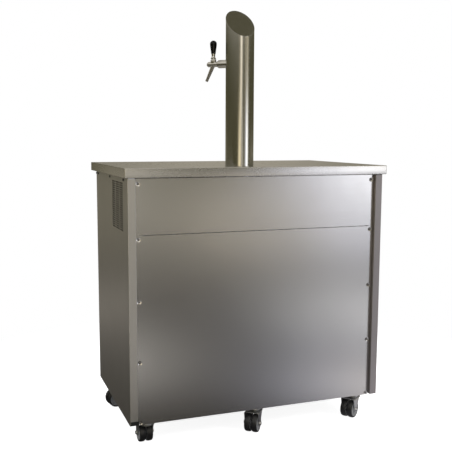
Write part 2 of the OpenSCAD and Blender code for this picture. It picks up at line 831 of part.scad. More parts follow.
module compressor() {
    r = compressor_radius;
    dome = [for (a = [90:-15:0]) [r * cos(a) * 0.45 + r * 0.55 * (a < 90 ? 1 : 0), shell_top - 35 + 35 * sin(a)]];
    bowl = [for (a = [0:-15:-90]) [r * cos(a) * 0.35 + r * 0.65 * (a > -90 ? 1 : 0), 28 + 28 * sin(a)]];
    color("black") translate([compressor_x, compressor_y, compressor_z]) {
        rotate_extrude() polygon(concat([[0, shell_top]], [for (p = dome) if (p[0] > 0) p],
            [for (p = bowl) if (p[0] > 0) p], [[0, 0]]));
        translate([0, 0, 84]) cylinder(r = r + 4, h = 4);
        difference() {
            box([-compressor_foot, -62, -2], [compressor_foot, 62, 1]);
            for (x = [-grommet_x, grommet_x], y = [-grommet_y, grommet_y])
                translate([x, y, -3]) cylinder(r = 6, h = 6);
        }
        for (x = [-grommet_x, grommet_x], y = [-grommet_y, grommet_y])
            translate([x, y, -compressor_z + deck_z]) rotate_extrude()
                polygon([[3, 0], [grommet_radius, 0], [grommet_radius, 11.7], [6 - seat, 11.7],
                    [6 - seat, 15.4], [9, 15.4], [9, 18], [3, 18]]);
        box([r - 8, -24, 40], [r + 22, 24, 84]);
        for (p = [[discharge_offset, discharge_rise], [return_offset, return_rise]])
            translate([p[0], 0, p[1]]) rotate([90, 0, 0])
                cylinder(r = pipe_radius + joint_wall, h = r + stub_length);
    }
}

// Condenser: fins on a bundle of tubes, between two end plates
fin_pitch = 8;
fin_sheet = 0.8;

module condenser() {
    low_y = vent_y - condenser_width / 2;
    rows = 6;
    pitch = condenser_height / rows;
    color("dimgray") translate([condenser_x, low_y, deck_z]) {
        for (y = [fin_pitch:fin_pitch:condenser_width - fin_pitch])
            box([2, y, 4], [condenser_depth - 2, y + fin_sheet, condenser_height - 2]);
        for (y = [0, condenser_width - 1.5])
            box([0, y, 0], [condenser_depth, y + 1.5, condenser_height]);
        for (x = [13, condenser_depth - 13], k = [0:rows - 1])
            translate([x, 0.5, (k + 0.5) * pitch]) rotate([-90, 0, 0])
                cylinder(r = pipe_radius, h = condenser_width - 1);
        for (k = [0:rows - 1]) translate([condenser_depth / 2, condenser_width - 1, (k + 0.5) * pitch])
            return_bend(condenser_depth / 2 - 13);
    }
}

// Half-circle of tube in a level plane, opening towards -Y
module return_bend(r) {
    rotate_extrude(angle = 180) translate([r, 0]) circle(r = pipe_radius);
}

module fan_shroud() {
    half = condenser_width / 2;
    color("dimgray") translate([shroud_x, vent_y, deck_z]) difference() {
        box([0, -half, 0], [shroud_depth, half, condenser_height]);
        box([-cut, -half + 1.5, 1.5], [shroud_depth - 2, half - 1.5, condenser_height - 1.5]);
        translate([0, 0, vent_z - deck_z]) rotate([0, 90, 0]) {
            difference() {
                cylinder(r = fan_radius + 5, h = shroud_depth + cut);
                translate([0, 0, -cut]) {
                    cylinder(r = 36, h = shroud_depth + 3 * cut);
                    for (a = [45:90:315]) rotate(a) translate([20, -6, 0])
                        cube([fan_radius, 12, shroud_depth + 3 * cut]);
                }
            }
            cylinder(r = 12, h = shroud_depth + cut);
        }
    }
}

module fan_motor() {
    color("gray") translate([motor_x, vent_y, vent_z]) rotate([0, 90, 0]) {
        translate([0, 0, seat]) rotate_extrude()
            polygon([[0, 0], [motor_radius - 3, 0], [motor_radius, 3], [motor_radius, motor_length - 8],
                [motor_radius - 5, motor_length], [0, motor_length]]);
        translate([0, 0, -fan_gap - fan_depth - 8]) cylinder(r = shaft_radius, h = fan_gap + fan_depth + 9);
        translate([0, 0, -2]) cylinder(r = 11, h = 3);
    }
}

blades = 5;
blade_pitch = 32;
blade_chord = 48;
blade_sheet = 2;

module fan_blades() {
    color("black") translate([motor_x - fan_gap - fan_depth, vent_y, vent_z]) rotate([0, 90, 0]) difference() {
        union() {
            cylinder(r = hub_radius, h = fan_depth);
            intersection() {
                for (k = [0:blades - 1]) rotate(k * 360 / blades) translate([hub_radius - 2, 0, fan_depth / 2])
                    rotate([blade_pitch, 0, 0]) translate([0, -blade_chord / 2, -blade_sheet / 2])
                        cube([fan_radius, blade_chord, blade_sheet]);
                cylinder(r = fan_radius, h = fan_depth);
            }
        }
        translate([0, 0, -cut]) cylinder(r = shaft_radius + running, h = fan_depth + 2 * cut);
    }
}

// Evaporator: a plate on the back of the liner with a tube bent to and fro across it
runs = 6;

module evaporator() {
    y0 = liner_back_y + liner_sheet + seat;
    plate_low = liner_z + 77;
    plate_high = liner_top_z - 150;
    margin = 30;
    low = plate_low + margin;
    step = (plate_high - margin - low) / (runs - 1);
    radius = step / 2;
    left = liquid_x + radius;
    right = liner_x - 117;
    color("lightgray") {
        box([suction_x - 20, y0, plate_low], [right + radius + 20, y0 + plate_sheet_cold, plate_high]);
        for (k = [0:runs - 1])
            rod([k == 0 ? suction_x : k == runs - 1 ? liquid_x : left, riser_y, low + k * step],
                [right, riser_y, low + k * step], pipe_radius);
        for (k = [0:2:runs - 2]) {
            translate([right, riser_y, low + (k + 0.5) * step]) half_turn(radius);
            for (j = [k, k + 1]) joint_sleeve([right, riser_y, low + j * step]);
        }
        for (k = [1:2:runs - 3]) {
            translate([left, riser_y, low + (k + 0.5) * step]) mirror([1, 0, 0]) half_turn(radius);
            for (j = [k, k + 1]) joint_sleeve([left, riser_y, low + j * step]);
        }
        for (p = [[liquid_x, low + (runs - 1) * step], [suction_x, low]]) {
            translate([p[0], riser_y, p[1]]) sphere(r = pipe_radius + joint_wall);
            rod([p[0], riser_y, p[1]], [p[0], riser_y, riser_z], pipe_radius);
        }
    }
}

// Half circle of tube standing up, bulging towards +X
module half_turn(r) {
    rotate([90, 0, 0]) rotate(-90) rotate_extrude(angle = 180) translate([r, 0]) circle(r = pipe_radius);
}

module refrigerant_pipes() {
    low_y = vent_y - condenser_width / 2;
    pitch = condenser_height / 6;
    top_row = deck_z + 5.5 * pitch;
    bottom_row = deck_z + 0.5 * pitch;
    port_x = condenser_x + condenser_depth - 13;
    liquid_y = rear_pipe_y;
    stub_y = compressor_y - compressor_radius - stub_length - seat / 3;
    discharge_x = compressor_x + discharge_offset;
    discharge_z = compressor_z + discharge_rise;
    return_x = compressor_x + return_offset;
    return_z = compressor_z + return_rise;
    color("peru") {
        pipe_run([[discharge_x, stub_y, discharge_z], [discharge_x, liquid_y, discharge_z],
            [discharge_x, liquid_y, top_row], [port_x, liquid_y, top_row], [port_x, low_y, top_row]],
            pipe_radius);
        pipe_run([[port_x, low_y, bottom_row], [port_x, liquid_y, bottom_row],
            [liquid_x, liquid_y, bottom_row], [liquid_x, riser_y, bottom_row],
            [liquid_x, riser_y, riser_z + 0.1]], pipe_radius);
        translate([port_x + 20, liquid_y, bottom_row]) rotate([0, 90, 0]) rotate_extrude()
            polygon([[0, 0], [4, 0], [10, 8], [10, 42], [4, 50], [0, 50]]);
        pipe_run([[suction_x, riser_y, riser_z + 0.1], [suction_x, riser_y, return_z],
            [suction_x, liquid_y, return_z], [return_x, liquid_y, return_z], [return_x, stub_y, return_z]],
            pipe_radius);
    }
}

// Tower
module slant(lift) {
    translate([tower_x, tower_y, slant_z + lift]) rotate([slant_angle, 0, 0])
        translate([-tower_diameter, -2 * tower_diameter, 0]) cube([2 * tower_diameter, 4 * tower_diameter,
            4 * tower_diameter]);
}

cap_drop = cap_thickness / cos(slant_angle);

module tower_tube() {
    color("silver") difference() {
        translate([tower_x, tower_y, board_top]) {
            ring(tower_radius, tower_bore, tower_height + tower_diameter);
            ring(tower_bore + tower_wall / 2, tower_bore - base_ring_width, base_ring_height);
        }
        slant(-cap_drop);
        at_tap() rotate([0, 90, 0]) cylinder(r = shank_radius + thread_clearance, h = tower_diameter);
        at_clamp_screws() translate([0, 0, board_top - cut])
            cylinder(r = clamp_screw + thread_clearance, h = base_ring_height);
    }
}

module tower_cap() {
    color("silver") difference() {
        translate([tower_x, tower_y, worktop_height]) cylinder(r = tower_radius, h = tower_height + tower_diameter);
        slant(0);
        translate([0, 0, -cap_drop]) difference() {
            translate([tower_x, tower_y, worktop_height - 2 * cut])
                cylinder(r = tower_diameter, h = 2 * tower_height);
            slant(0);
        }
    }
}

module tower_clamp() {
    color("gray") {
        difference() {
            translate([tower_x, tower_y, top_z - 5]) ring(tower_radius + 6, hole_radius, 5);
            at_clamp_screws() translate([0, 0, top_z - 6]) cylinder(r = clamp_screw + seat, h = 7);
        }
        at_clamp_screws() {
            translate([0, 0, top_z - 9]) cylinder(r = 5.5, h = 4, $fn = 6);
            translate([0, 0, top_z - 6]) cylinder(r = clamp_screw, h = worktop_edge + base_ring_height);
        }
    }
}

// Beer line from the ceiling of the chamber up the tower to the tap
line_foot = liner_top_z - 14;

module beer_line() {
    bore_depth = 40;
    color("ivory") difference() {
        union() {
            translate([line_x, line_y, line_foot])
                cylinder(r = line_radius, h = tap_z - line_bend - line_foot);
            at_tap() {
                translate([tail_start, 0, -line_bend]) rotate([90, 0, 0]) rotate(90)
                    rotate_extrude(angle = 90) translate([line_bend, 0]) circle(r = line_radius);
                translate([tail_start, 0, 0]) rotate([0, 90, 0]) cylinder(r = line_radius, h = tail_insert);
                translate([line_offset, 0, -line_bend - 6]) cylinder(r = line_radius + joint_wall, h = 8);
                translate([tail_start - 4, 0, 0]) rotate([0, 90, 0])
                    cylinder(r = line_radius + joint_wall, h = 4.7);
            }
        }
        translate([line_x, line_y, line_foot - cut]) cylinder(r = tap_bore, h = bore_depth);
        at_tap() translate([tail_start + 6, 0, 0]) rotate([0, 90, 0]) cylinder(r = tap_bore, h = tail_insert);
    }
}

module line_insulation() {
    low = deck_z + 1;
    high = tap_z - line_bend - 14;
    color("dimgray") translate([line_x, line_y, low]) ring(sleeve_radius, line_radius + seat, high - low);
}

module keg_union() {
    top = liner_top_z - liner_sheet - seat;
    color("gainsboro") translate([line_x, line_y, 0]) difference() {
        union() {
            translate([0, 0, top - 4]) cylinder(r = 13, h = 4);
            translate([0, 0, top - 14]) cylinder(r = 11, h = 10, $fn = 6);
            translate([0, 0, top - 22]) cylinder(r = 8, h = 9);
            translate([0, 0, top - 44]) cylinder(r = line_radius, h = 23);
        }
        translate([0, 0, top - 45]) cylinder(r = 3, h = 50);
        translate([0, 0, line_foot - seat]) cylinder(r = line_radius + sliding, h = 50);
    }
}

// Tap
module tap_shank() {
    chamfer = 4;
    bore_end = tail_start + tail_insert + 1;
    tail_radius = 6.5;
    nut_start = sqrt(tower_bore * tower_bore - 144) - 8;
    color("gainsboro") at_tap() {
        difference() {
            tap_lathe() polygon([[tap_bore, collar_end], [collar_radius - chamfer, collar_end],
                [collar_radius, collar_end - chamfer], [collar_radius, tower_radius - 3],
                [shank_radius, tower_radius - 3], [shank_radius, nut_start - 3], [tail_radius, nut_start - 3],
                [tail_radius, tail_start + 1], [line_radius + sliding, tail_start + 1],
                [line_radius + sliding, bore_end], [tap_bore, bore_end]]);
            translate([0, 0, -50]) difference() {
                cylinder(r = tower_radius + 0.02, h = 100, $fn = 96);
                translate([0, 0, 50]) rotate([0, 90, 0]) cylinder(r = shank_radius, h = 100);
            }
        }
        translate([nut_start, 0, 0]) rotate([0, 90, 0]) difference() {
            cylinder(r = 12, h = 7, $fn = 6);
            translate([0, 0, -cut]) cylinder(r = shank_radius - 0.5, h = 10);
        }
    }
}

module tap_body() {
    start = collar_end + seat / 3;
    nose = collar_end + tap_length;
    r = tap_radius;
    slot_back = 11;
    slot_front = 5.6;
    color("gainsboro") at_tap() difference() {
        union() {
            tap_lathe() polygon(concat([[0, start], [r - 1, start], [r, start + 1]],
                [for (a = [0:10:90]) [r * cos(a), nose - r + r * sin(a)]]));
            translate([pivot_s, 0, 0]) for (side = [-1, 1]) translate([0, side * (ear_gap + ear_width / 2), 0])
                rotate([90, 0, 0]) linear_extrude(ear_width, center = true) {
                    translate([0, pivot_rise]) circle(r = ear_radius);
                    polygon([[-r, 0], [r, 0], [ear_radius, pivot_rise], [-ear_radius, pivot_rise]]);
                }
            translate([spout_s, 0, 0]) rotate([0, 180 - spout_angle, 0]) cylinder(r1 = spout_root,
                r2 = spout_tip, h = spout_length);
        }
        translate([start - cut, 0, 0]) rotate([0, 90, 0]) cylinder(r = plunger_bore, h = pivot_s + 9 - start);
        translate([spout_s, 0, 0]) rotate([0, 180 - spout_angle, 0]) cylinder(r = tap_bore,
            h = spout_length + cut);
        box([pivot_s - slot_back, -ear_gap, 0], [pivot_s + slot_front, ear_gap, 3 * r]);
        translate([pivot_s, 0, pivot_rise]) rotate([90, 0, 0])
            cylinder(r = pivot_pin + running, h = 4 * r, center = true);
    }
}

module tap_plunger() {
    color("white") at_tap() difference() {
        translate([pivot_s - 9, 0, 0]) rotate([0, 90, 0]) cylinder(r = plunger_radius, h = 17);
        translate([pivot_s, 0, 0]) rotate([90, 0, 0]) linear_extrude(3 * plunger_radius, center = true)
            polygon([[-arm_ball - 0.9, -arm_ball - 0.5], [arm_ball + 0.4, -arm_ball - 0.5],
                [arm_ball + 0.4, 2.2], [arm_ball + 2.6, 6], [-arm_ball - 0.9, 6]]);
    }
}

module tap_lever() {
    neck = 4;
    flare = pivot_rise + 8.5;
    bonnet = 10;
    ferrule = 7.9;
    color("gainsboro") at_tap() translate([pivot_s, 0, 0]) {
        sphere(r = arm_ball);
        cylinder(r = 1.8, h = pivot_rise);
        translate([0, 0, pivot_rise]) sphere(r = neck);
        translate([0, 0, pivot_rise]) rotate([90, 0, 0])
            cylinder(r = pivot_pin, h = 2 * (ear_gap + ear_width), center = true);
        translate([0, 0, pivot_rise]) cylinder(r = neck, h = 9);
        rotate_extrude() polygon([[0, flare], [bonnet - 1, flare], [bonnet, flare + 1], [bonnet, flare + 5],
            [bonnet - 2.8, flare + 8], [bonnet - 2.8, lever_height - 5], [ferrule, lever_height - 4],
            [ferrule, lever_height], [knob_stud, lever_height], [knob_stud, lever_height + 16],
            [0, lever_height + 16]]);
    }
}

// Knob: a pear shape, widest near its round top
module tap_knob() {
    r = knob_radius;
    foot = 9.2;
    shoulder = knob_height - r;
    color("black") at_tap() translate([pivot_s, 0, lever_height + 0.05]) rotate_extrude()
        polygon(concat([[knob_stud + sliding, 0], [foot - 0.8, 0], [foot, 1]],
            [for (t = [0.1:0.1:0.9]) [foot + (r - foot) * (3 * t * t - 2 * t * t * t), shoulder * t]],
            [for (a = [0:10:90]) [r * cos(a), shoulder + r * sin(a)]],
            [[0, 17], [knob_stud + sliding, 17]]));
}

// Castors: fixed plate with its ball race
module castor_plates() {
    color("silver") for (c = castors) translate([c[0], c[1], 0]) difference() {
        union() {
            translate([-plate_length / 2, -plate_width / 2, castor_height - plate_sheet])
                cube([plate_length, plate_width, plate_sheet]);
            translate([0, 0, castor_height - plate_sheet - 7]) rotate_extrude()
                polygon([[0, 0], [race_radius - 5, 0], [race_radius, 5], [race_radius + 4, 8], [0, 8]]);
        }
        translate([0, 0, castor_height - 14]) cylinder(r = kingpin_radius + running, h = 20);
        for (sx = [-1, 1], sy = [-1, 1]) translate([sx * bolt_spacing_x / 2, sy * bolt_spacing_y / 2,
            castor_height - plate_sheet - cut]) cylinder(r = bolt_radius + seat, h = plate_sheet + 2 * cut);
    }
}

module castor_bolts() {
    color("gray") for (c = castors, sx = [-1, 1], sy = [-1, 1])
        translate([c[0] + sx * bolt_spacing_x / 2, c[1] + sy * bolt_spacing_y / 2, castor_height - plate_sheet]) {
            translate([0, 0, -bolt_head]) cylinder(r = bolt_hexagon, h = bolt_head, $fn = 6);
            cylinder(r = bolt_radius, h = bolt_length);
            translate([0, 0, plate_sheet + rail_wall + seat / 3])
                cylinder(r = bolt_hexagon, h = nut_height, $fn = 6);
        }
}

// Fork: crown with the other half of the race, two legs, the kingpin and the axle bolt
module castor_fork(i) {
    leg_top = 27;
    foot_radius = 12;
    color("silver") at_castor(i) {
        translate([0, 0, crown_z]) linear_extrude(crown_sheet) difference() {
            union() {
                circle(r = leg_outer);
                translate([0, -leg_outer]) square([trail + 20, 2 * leg_outer]);
            }
        }
        translate([0, 0, crown_z + crown_sheet - 1]) rotate_extrude()
            polygon([[0, 0], [race_radius + 5, 0], [race_radius + 5, 5], [race_radius + 1, 8 - seat],
                [race_radius - 8, 8 - seat], [0, 8 - seat]]);
        translate([0, 0, crown_z - 4]) cylinder(r = kingpin_radius, h = castor_height - crown_z + 3.5);
        translate([0, 0, crown_z - 4]) cylinder(r = 9, h = 4, $fn = 6);
        for (side = [-1, 1]) translate([0, side * (leg_inner + fork_sheet / 2), 0]) rotate([90, 0, 0])
            linear_extrude(fork_sheet, center = true) {
                translate([trail, wheel_radius]) circle(r = foot_radius);
                polygon([[trail - foot_radius, wheel_radius], [trail + foot_radius, wheel_radius],
                    [trail + 20, crown_z + 1], [trail + 20 - 2 * leg_top, crown_z + 1],
                    [trail + 20 - 2 * leg_top, crown_z - 6]]);
            }
        translate([trail, 0, wheel_radius]) rotate([90, 0, 0]) {
            cylinder(r = axle_radius, h = 2 * leg_outer + 6, center = true);
            translate([0, 0, leg_outer]) cylinder(r = 8, h = 6, $fn = 6);
            translate([0, 0, -leg_outer - 6]) cylinder(r = 8, h = 6, $fn = 6);
        }
    }
}

// Pair of wheels: tread with round edges, sunk side faces and a hub
module castor_wheels(i) {
    w = wheel_width;
    r = wheel_radius;
    bore = axle_radius + running;
    color("dimgray") at_castor(i) for (side = [-1, 1])
        translate([trail, side * (w + wheel_gap) / 2, wheel_radius]) rotate([90, 0, 0]) rotate_extrude()
            polygon(concat([[bore, -w / 2], [13, -w / 2], [13, -w / 2 + 3], [r - 8, -w / 2 + 3],
                [r - 7, -w / 2 + 1]],
                [for (a = [-90:15:-15]) [r - 4 + 4 * cos(a), -w / 2 + 4 + 4 * sin(a)]],
                [for (a = [15:15:90]) [r - 4 + 4 * cos(a), w / 2 - 4 + 4 * sin(a)]],
                [[r - 7, w / 2 - 1], [r - 8, w / 2 - 3], [13, w / 2 - 3], [13, w / 2], [bore, w / 2]]));
}

module castor_fork_1() { castor_fork(0); }
module castor_fork_2() { castor_fork(1); }
module castor_fork_3() { castor_fork(2); }
module castor_fork_4() { castor_fork(3); }
module castor_fork_5() { castor_fork(4); }
module castor_fork_6() { castor_fork(5); }
module castor_wheels_1() { castor_wheels(0); }
module castor_wheels_2() { castor_wheels(1); }
module castor_wheels_3() { castor_wheels(2); }
module castor_wheels_4() { castor_wheels(3); }
module castor_wheels_5() { castor_wheels(4); }
module castor_wheels_6() { castor_wheels(5); }

base_frame();
side_panel_left();
side_panel_right();
rear_panel_upper();
rear_panel_lower();
panel_screws();
side_bolts();
worktop();
worktop_board();
insulation();
inner_liner();
machine_deck();
front_fascia();
mullion();
hinge_brackets();
castor_plates();
castor_bolts();
thermostat();
power_switch();
cable_gland();
compressor();
condenser();
fan_shroud();
fan_motor();
evaporator();
refrigerant_pipes();
tower_tube();
tower_cap();
tower_clamp();
beer_line();
line_insulation();
keg_union();
tap_shank();
tap_body();
fan_blades();
thermostat_knob();
switch_rocker();
tap_plunger();
tap_lever();
tap_knob();
door_left_skin();
door_left_inner();
door_left_gasket();
door_left_handle();
door_right_skin();
door_right_inner();
door_right_gasket();
door_right_handle();
castor_fork_1();
castor_fork_2();
castor_fork_3();
castor_fork_4();
castor_fork_5();
castor_fork_6();
castor_wheels_1();
castor_wheels_2();
castor_wheels_3();
castor_wheels_4();
castor_wheels_5();
castor_wheels_6();
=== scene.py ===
import json
import math

import bpy
import bmesh
import numpy as np
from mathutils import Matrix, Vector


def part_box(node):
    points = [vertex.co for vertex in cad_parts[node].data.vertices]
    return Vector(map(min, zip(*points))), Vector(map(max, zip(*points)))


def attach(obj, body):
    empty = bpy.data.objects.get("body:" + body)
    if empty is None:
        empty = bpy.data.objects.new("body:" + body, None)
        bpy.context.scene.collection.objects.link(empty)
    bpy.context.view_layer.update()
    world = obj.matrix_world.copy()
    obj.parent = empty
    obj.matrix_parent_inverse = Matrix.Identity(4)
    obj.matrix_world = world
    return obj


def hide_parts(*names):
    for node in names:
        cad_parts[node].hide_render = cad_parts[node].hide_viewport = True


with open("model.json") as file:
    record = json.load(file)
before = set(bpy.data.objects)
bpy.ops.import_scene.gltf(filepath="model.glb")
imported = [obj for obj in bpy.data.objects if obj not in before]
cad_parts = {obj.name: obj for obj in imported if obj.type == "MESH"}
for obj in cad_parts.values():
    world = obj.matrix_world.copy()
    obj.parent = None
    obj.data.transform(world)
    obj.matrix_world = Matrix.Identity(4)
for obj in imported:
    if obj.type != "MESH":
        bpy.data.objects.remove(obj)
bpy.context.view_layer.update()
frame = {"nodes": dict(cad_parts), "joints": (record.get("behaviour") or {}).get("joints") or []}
nodes = frame["nodes"]
print("frame loaded:", len(nodes), "nodes")

mergeWithin = 2e-6  # points of a piece nearer than this become one
fullTurn = 2 * np.pi


# Angles of evenly spaced steps round a full turn, as a column
def roundTurn(steps):
    return np.linspace(0, fullTurn, steps, endpoint=False)[:, None]


# Quads between neighbours on a grid of nu x nv points, joined round where wrapped
def gridFaces(nu, nv, wrapU=False, wrapV=False):
    rows, columns = np.arange(nu if wrapU else nu - 1), np.arange(nv if wrapV else nv - 1)
    u, v = np.meshgrid(rows, columns, indexing="ij")
    u2, v2 = (u + 1) % nu, (v + 1) % nv
    return np.stack([u * nv + v, u2 * nv + v, u2 * nv + v2, u * nv + v2], -1).reshape(-1, 4)


# One surface: points[u, v] = (x, y, z), with flat caps on the first and last rows of u where asked
def surface(points, wrapU=False, wrapV=False, caps=(False, False)):
    nu, nv = points.shape[:2]
    faces = gridFaces(nu, nv, wrapU, wrapV).tolist()
    if caps[0]:
        faces.append(list(range(nv - 1, -1, -1)))
    if caps[1]:
        faces.append(list(range((nu - 1) * nv, nu * nv)))
    return points.reshape(-1, 3), faces


def newObject(name, data):
    thing = bpy.data.objects.new(name, data)
    bpy.context.scene.collection.objects.link(thing)
    return thing


def newMesh(name, points, faces, material):
    mesh = bpy.data.meshes.new(name)
    mesh.from_pydata(np.asarray(points).tolist(), [], faces)
    mesh.materials.append(material)
    return mesh


# Several surfaces become one object of the given look; doubles are merged, normals point outwards,
# and edges sharper than the given angle stay sharp
def addPiece(name, parts, look, body, sharp=35, modifiers=()):
    verts, faces, start = [], [], 0
    for points, quads in parts:
        verts.append(np.asarray(points, float).reshape(-1, 3))
        faces += [[i + start for i in f] for f in quads]
        start += len(verts[-1])
    mesh = newMesh(name, np.concatenate(verts), faces, looks[look])
    work = bmesh.new()
    work.from_mesh(mesh)
    bmesh.ops.remove_doubles(work, verts=work.verts, dist=mergeWithin)
    bmesh.ops.recalc_face_normals(work, faces=work.faces)
    work.to_mesh(mesh)
    work.free()
    mesh.shade_smooth()
    mesh.set_sharp_from_angle(angle=math.radians(sharp))
    piece = newObject(name, mesh)
    for kind, values in modifiers:
        modifier = piece.modifiers.new(kind.title(), kind)
        for key, value in values.items():
            setattr(modifier, key, value)
    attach(piece, body)
    return piece


# Local points moved to an origin, with the local z along axis and the local x along side
def placed(points, origin=(0, 0, 0), axis=(0, 0, 1), side=None):
    z = np.array(axis, float) / np.linalg.norm(axis)
    if side is None:
        side = (1, 0, 0) if abs(z[0]) < 0.9 else (0, 1, 0)
    x = np.array(side, float) - np.dot(side, z) * z
    x /= np.linalg.norm(x)
    return np.asarray(points, float) @ np.array([x, np.cross(z, x), z]) + np.array(origin, float)


# Rounded corners: each inner corner C becomes the curve (1-t)^2 A + 2t(1-t) C + t^2 B, where A and B
# lie the distance cut from C along its two sides, or nearly halfway where the side is short
def rounded(points, cut, steps, closed=False):
    p = np.asarray(points, float)
    toA, toB = np.roll(p, 1, 0) - p, np.roll(p, -1, 0) - p
    la, lb = np.linalg.norm(toA, axis=1), np.linalg.norm(toB, axis=1)
    c = np.minimum(np.broadcast_to(cut, la.shape), 0.49 * np.minimum(la, lb))[:, None]
    a, b = p + toA / la[:, None] * c, p + toB / lb[:, None] * c
    t = np.linspace(0, 1, steps)[None, :, None]
    curve = (1 - t) ** 2 * a[:, None] + 2 * t * (1 - t) * p[:, None] + t ** 2 * b[:, None]
    if closed:
        return curve.reshape(-1, p.shape[1])
    return np.concatenate([p[:1], curve[1:-1].reshape(-1, p.shape[1]), p[-1:]])


# Corners of a rectangle as a closed outline
def rectangle(x0, y0, x1, y1):
    return [(x0, y0), (x1, y0), (x1, y1), (x0, y1)]


# Points at radius, height and angle about the local z
def turned(radius, height, angle):
    return np.stack([radius * np.cos(angle), radius * np.sin(angle), height + 0 * angle], -1)


# Lathe: a profile of (radius, height) turned about the local z
def lathe(profile, steps, **where):
    return surface(placed(turned(*np.asarray(profile, float).T, roundTurn(steps)), **where), wrapU=True)


# Lathe of a profile whose corners are rounded first
def spun(corners, cut, fine, steps, **where):
    return lathe(rounded(corners, cut, fine), steps, **where)


# Several surfaces placed alike
def moved(parts, **where):
    return [(placed(points, **where), faces) for points, faces in parts]


# Prism with eased edges: an outline in the local xy is carried up z through layers of (inset, height);
# inset moves each point along the mean of its two sides' normals
def prism(outline, layers, **where):
    p = np.asarray(outline, float)
    d = np.roll(p, -1, 0) - np.roll(p, 1, 0)
    area = np.sum(p[:, 0] * np.roll(p[:, 1], -1) - p[:, 1] * np.roll(p[:, 0], -1))
    n = np.stack([-d[:, 1], d[:, 0]], -1) / np.linalg.norm(d, axis=1)[:, None] * np.sign(area)
    rows = np.asarray(layers, float)
    xy = p[None] + n[None] * rows[:, 0, None, None]
    z = np.broadcast_to(rows[:, 1, None, None], xy.shape[:2] + (1,))
    return surface(placed(np.concatenate([xy, z], -1), **where), wrapV=True, caps=(True, True))


# Layers for prism: a straight wall from low to high whose two rims are eased by a small curve
def easedLayers(low, high, ease, steps=3):
    a = np.linspace(0, np.pi / 2, steps)
    foot = np.stack([ease * (1 - np.sin(a)), low + ease * (1 - np.cos(a))], -1)
    return np.concatenate([foot, np.stack([foot[::-1, 0], high + low - foot[::-1, 1]], -1)])


# Block with rounded upright edges and eased rims, from its low and high corners; up names its long way
def block(low, high, corner, ease, up=2):
    low, high = np.array(low, float), np.array(high, float)
    order = [(1, 2, 0), (2, 0, 1), (0, 1, 2)][up]
    (x0, y0, z0), (x1, y1, z1) = low[list(order)], high[list(order)]
    outline = rounded(rectangle(x0, y0, x1, y1), corner, 4, closed=True)
    points, faces = prism(outline, easedLayers(z0, z1, ease))
    return points[:, np.argsort(order)], faces


# Tube: a profile in the local plane across a path. Each station's frame is the last one turned by the
# least rotation that takes one tangent to the next, so that the tube doesn't twist
def tube(path, profile, closed=False):
    p = np.asarray(path, float)
    t = (np.roll(p, -1, 0) - np.roll(p, 1, 0)) if closed else np.gradient(p, axis=0)
    t /= np.linalg.norm(t, axis=1)[:, None]
    side = np.cross(t[0], (0, 0, 1) if abs(t[0][2]) < 0.9 else (1, 0, 0))
    sides = []
    for tangent in t:
        side = side - np.dot(side, tangent) * tangent
        side = side / np.linalg.norm(side)
        sides.append(side)
    a = np.array(sides)
    b = np.cross(t, a)
    q = np.asarray(profile, float)
    points = p[:, None] + a[:, None] * q[None, :, :1] + b[:, None] * q[None, :, 1:]
    return surface(points, wrapU=closed, wrapV=True, caps=(not closed, not closed))


# Circle as a closed profile
def circle(radius, steps):
    a = np.linspace(0, fullTurn, steps, endpoint=False)
    return np.stack([radius * np.cos(a), radius * np.sin(a)], -1)


# Quarter of an ellipse from its widest point to its top, as points of (radius, height)
def quarter(radius, base, rise, steps):
    a = np.linspace(0, np.pi / 2, steps)
    return np.stack([radius * np.cos(a), base + rise * np.sin(a)], -1)


# Hexagon with its corners slightly rounded, as a closed outline
def hexagon(radius, cut=0.0004):
    return rounded(circle(radius, 6), cut, 3, closed=True)


# Node groups: effects that several materials use. Each reads Object coordinates and gives values only
def newGroup(name, label, kind, value, outputs):
    group = bpy.data.node_groups.new(name, "ShaderNodeTree")
    group.interface.new_socket(name=label, in_out="INPUT", socket_type=kind).default_value = value
    for output in outputs:
        group.interface.new_socket(name=output, in_out="OUTPUT", socket_type="NodeSocketFloat")
    return group, group.nodes.new("NodeGroupInput").outputs[label], group.nodes.new("NodeGroupOutput").inputs


# A number or colour is set on a socket, and anything else is linked to it
def feed(tree, socket, value):
    if isinstance(value, (int, float)):
        socket.default_value = value
    elif isinstance(value, (tuple, list)):
        socket.default_value = (*value, 1)[:len(socket.default_value)]
    elif value is not None:
        tree.links.new(value, socket)


def mathNode(tree, operation, a, b=None, clamp=False):
    node = tree.nodes.new("ShaderNodeMath")
    node.operation, node.use_clamp = operation, clamp
    feed(tree, node.inputs[0], a)
    feed(tree, node.inputs[1], b)
    return node.outputs[0]


def plus(tree, a, b, clamp=False):
    return mathNode(tree, "ADD", a, b, clamp)


def times(tree, a, b):
    return mathNode(tree, "MULTIPLY", a, b)


def vectorNode(tree, operation, a, b=None):
    node = tree.nodes.new("ShaderNodeVectorMath")
    node.operation = operation
    feed(tree, node.inputs[0], a)
    feed(tree, node.inputs["Scale" if operation == "SCALE" else 1], b)
    return node.outputs["Value" if operation == "LENGTH" else 0]


def objectPlace(tree):
    return tree.nodes.new("ShaderNodeTexCoord").outputs["Object"]


def noiseNode(tree, vector, scale, detail, rough):
    node = tree.nodes.new("ShaderNodeTexNoise")
    for label, value in (("Vector", vector), ("Scale", scale), ("Detail", detail), ("Roughness", rough)):
        feed(tree, node.inputs[label], value)
    return node.outputs["Fac"]


def rampNode(tree, value, low, high):
    node = tree.nodes.new("ShaderNodeMapRange")
    for label, x in (("Value", value), ("From Min", low), ("From Max", high)):
        feed(tree, node.inputs[label], x)
    return node.outputs["Result"]


def groupNode(tree, group, **values):
    node = tree.nodes.new("ShaderNodeGroup")
    node.node_tree = group
    for key, value in values.items():
        node.inputs[key].default_value = value
    return node.outputs


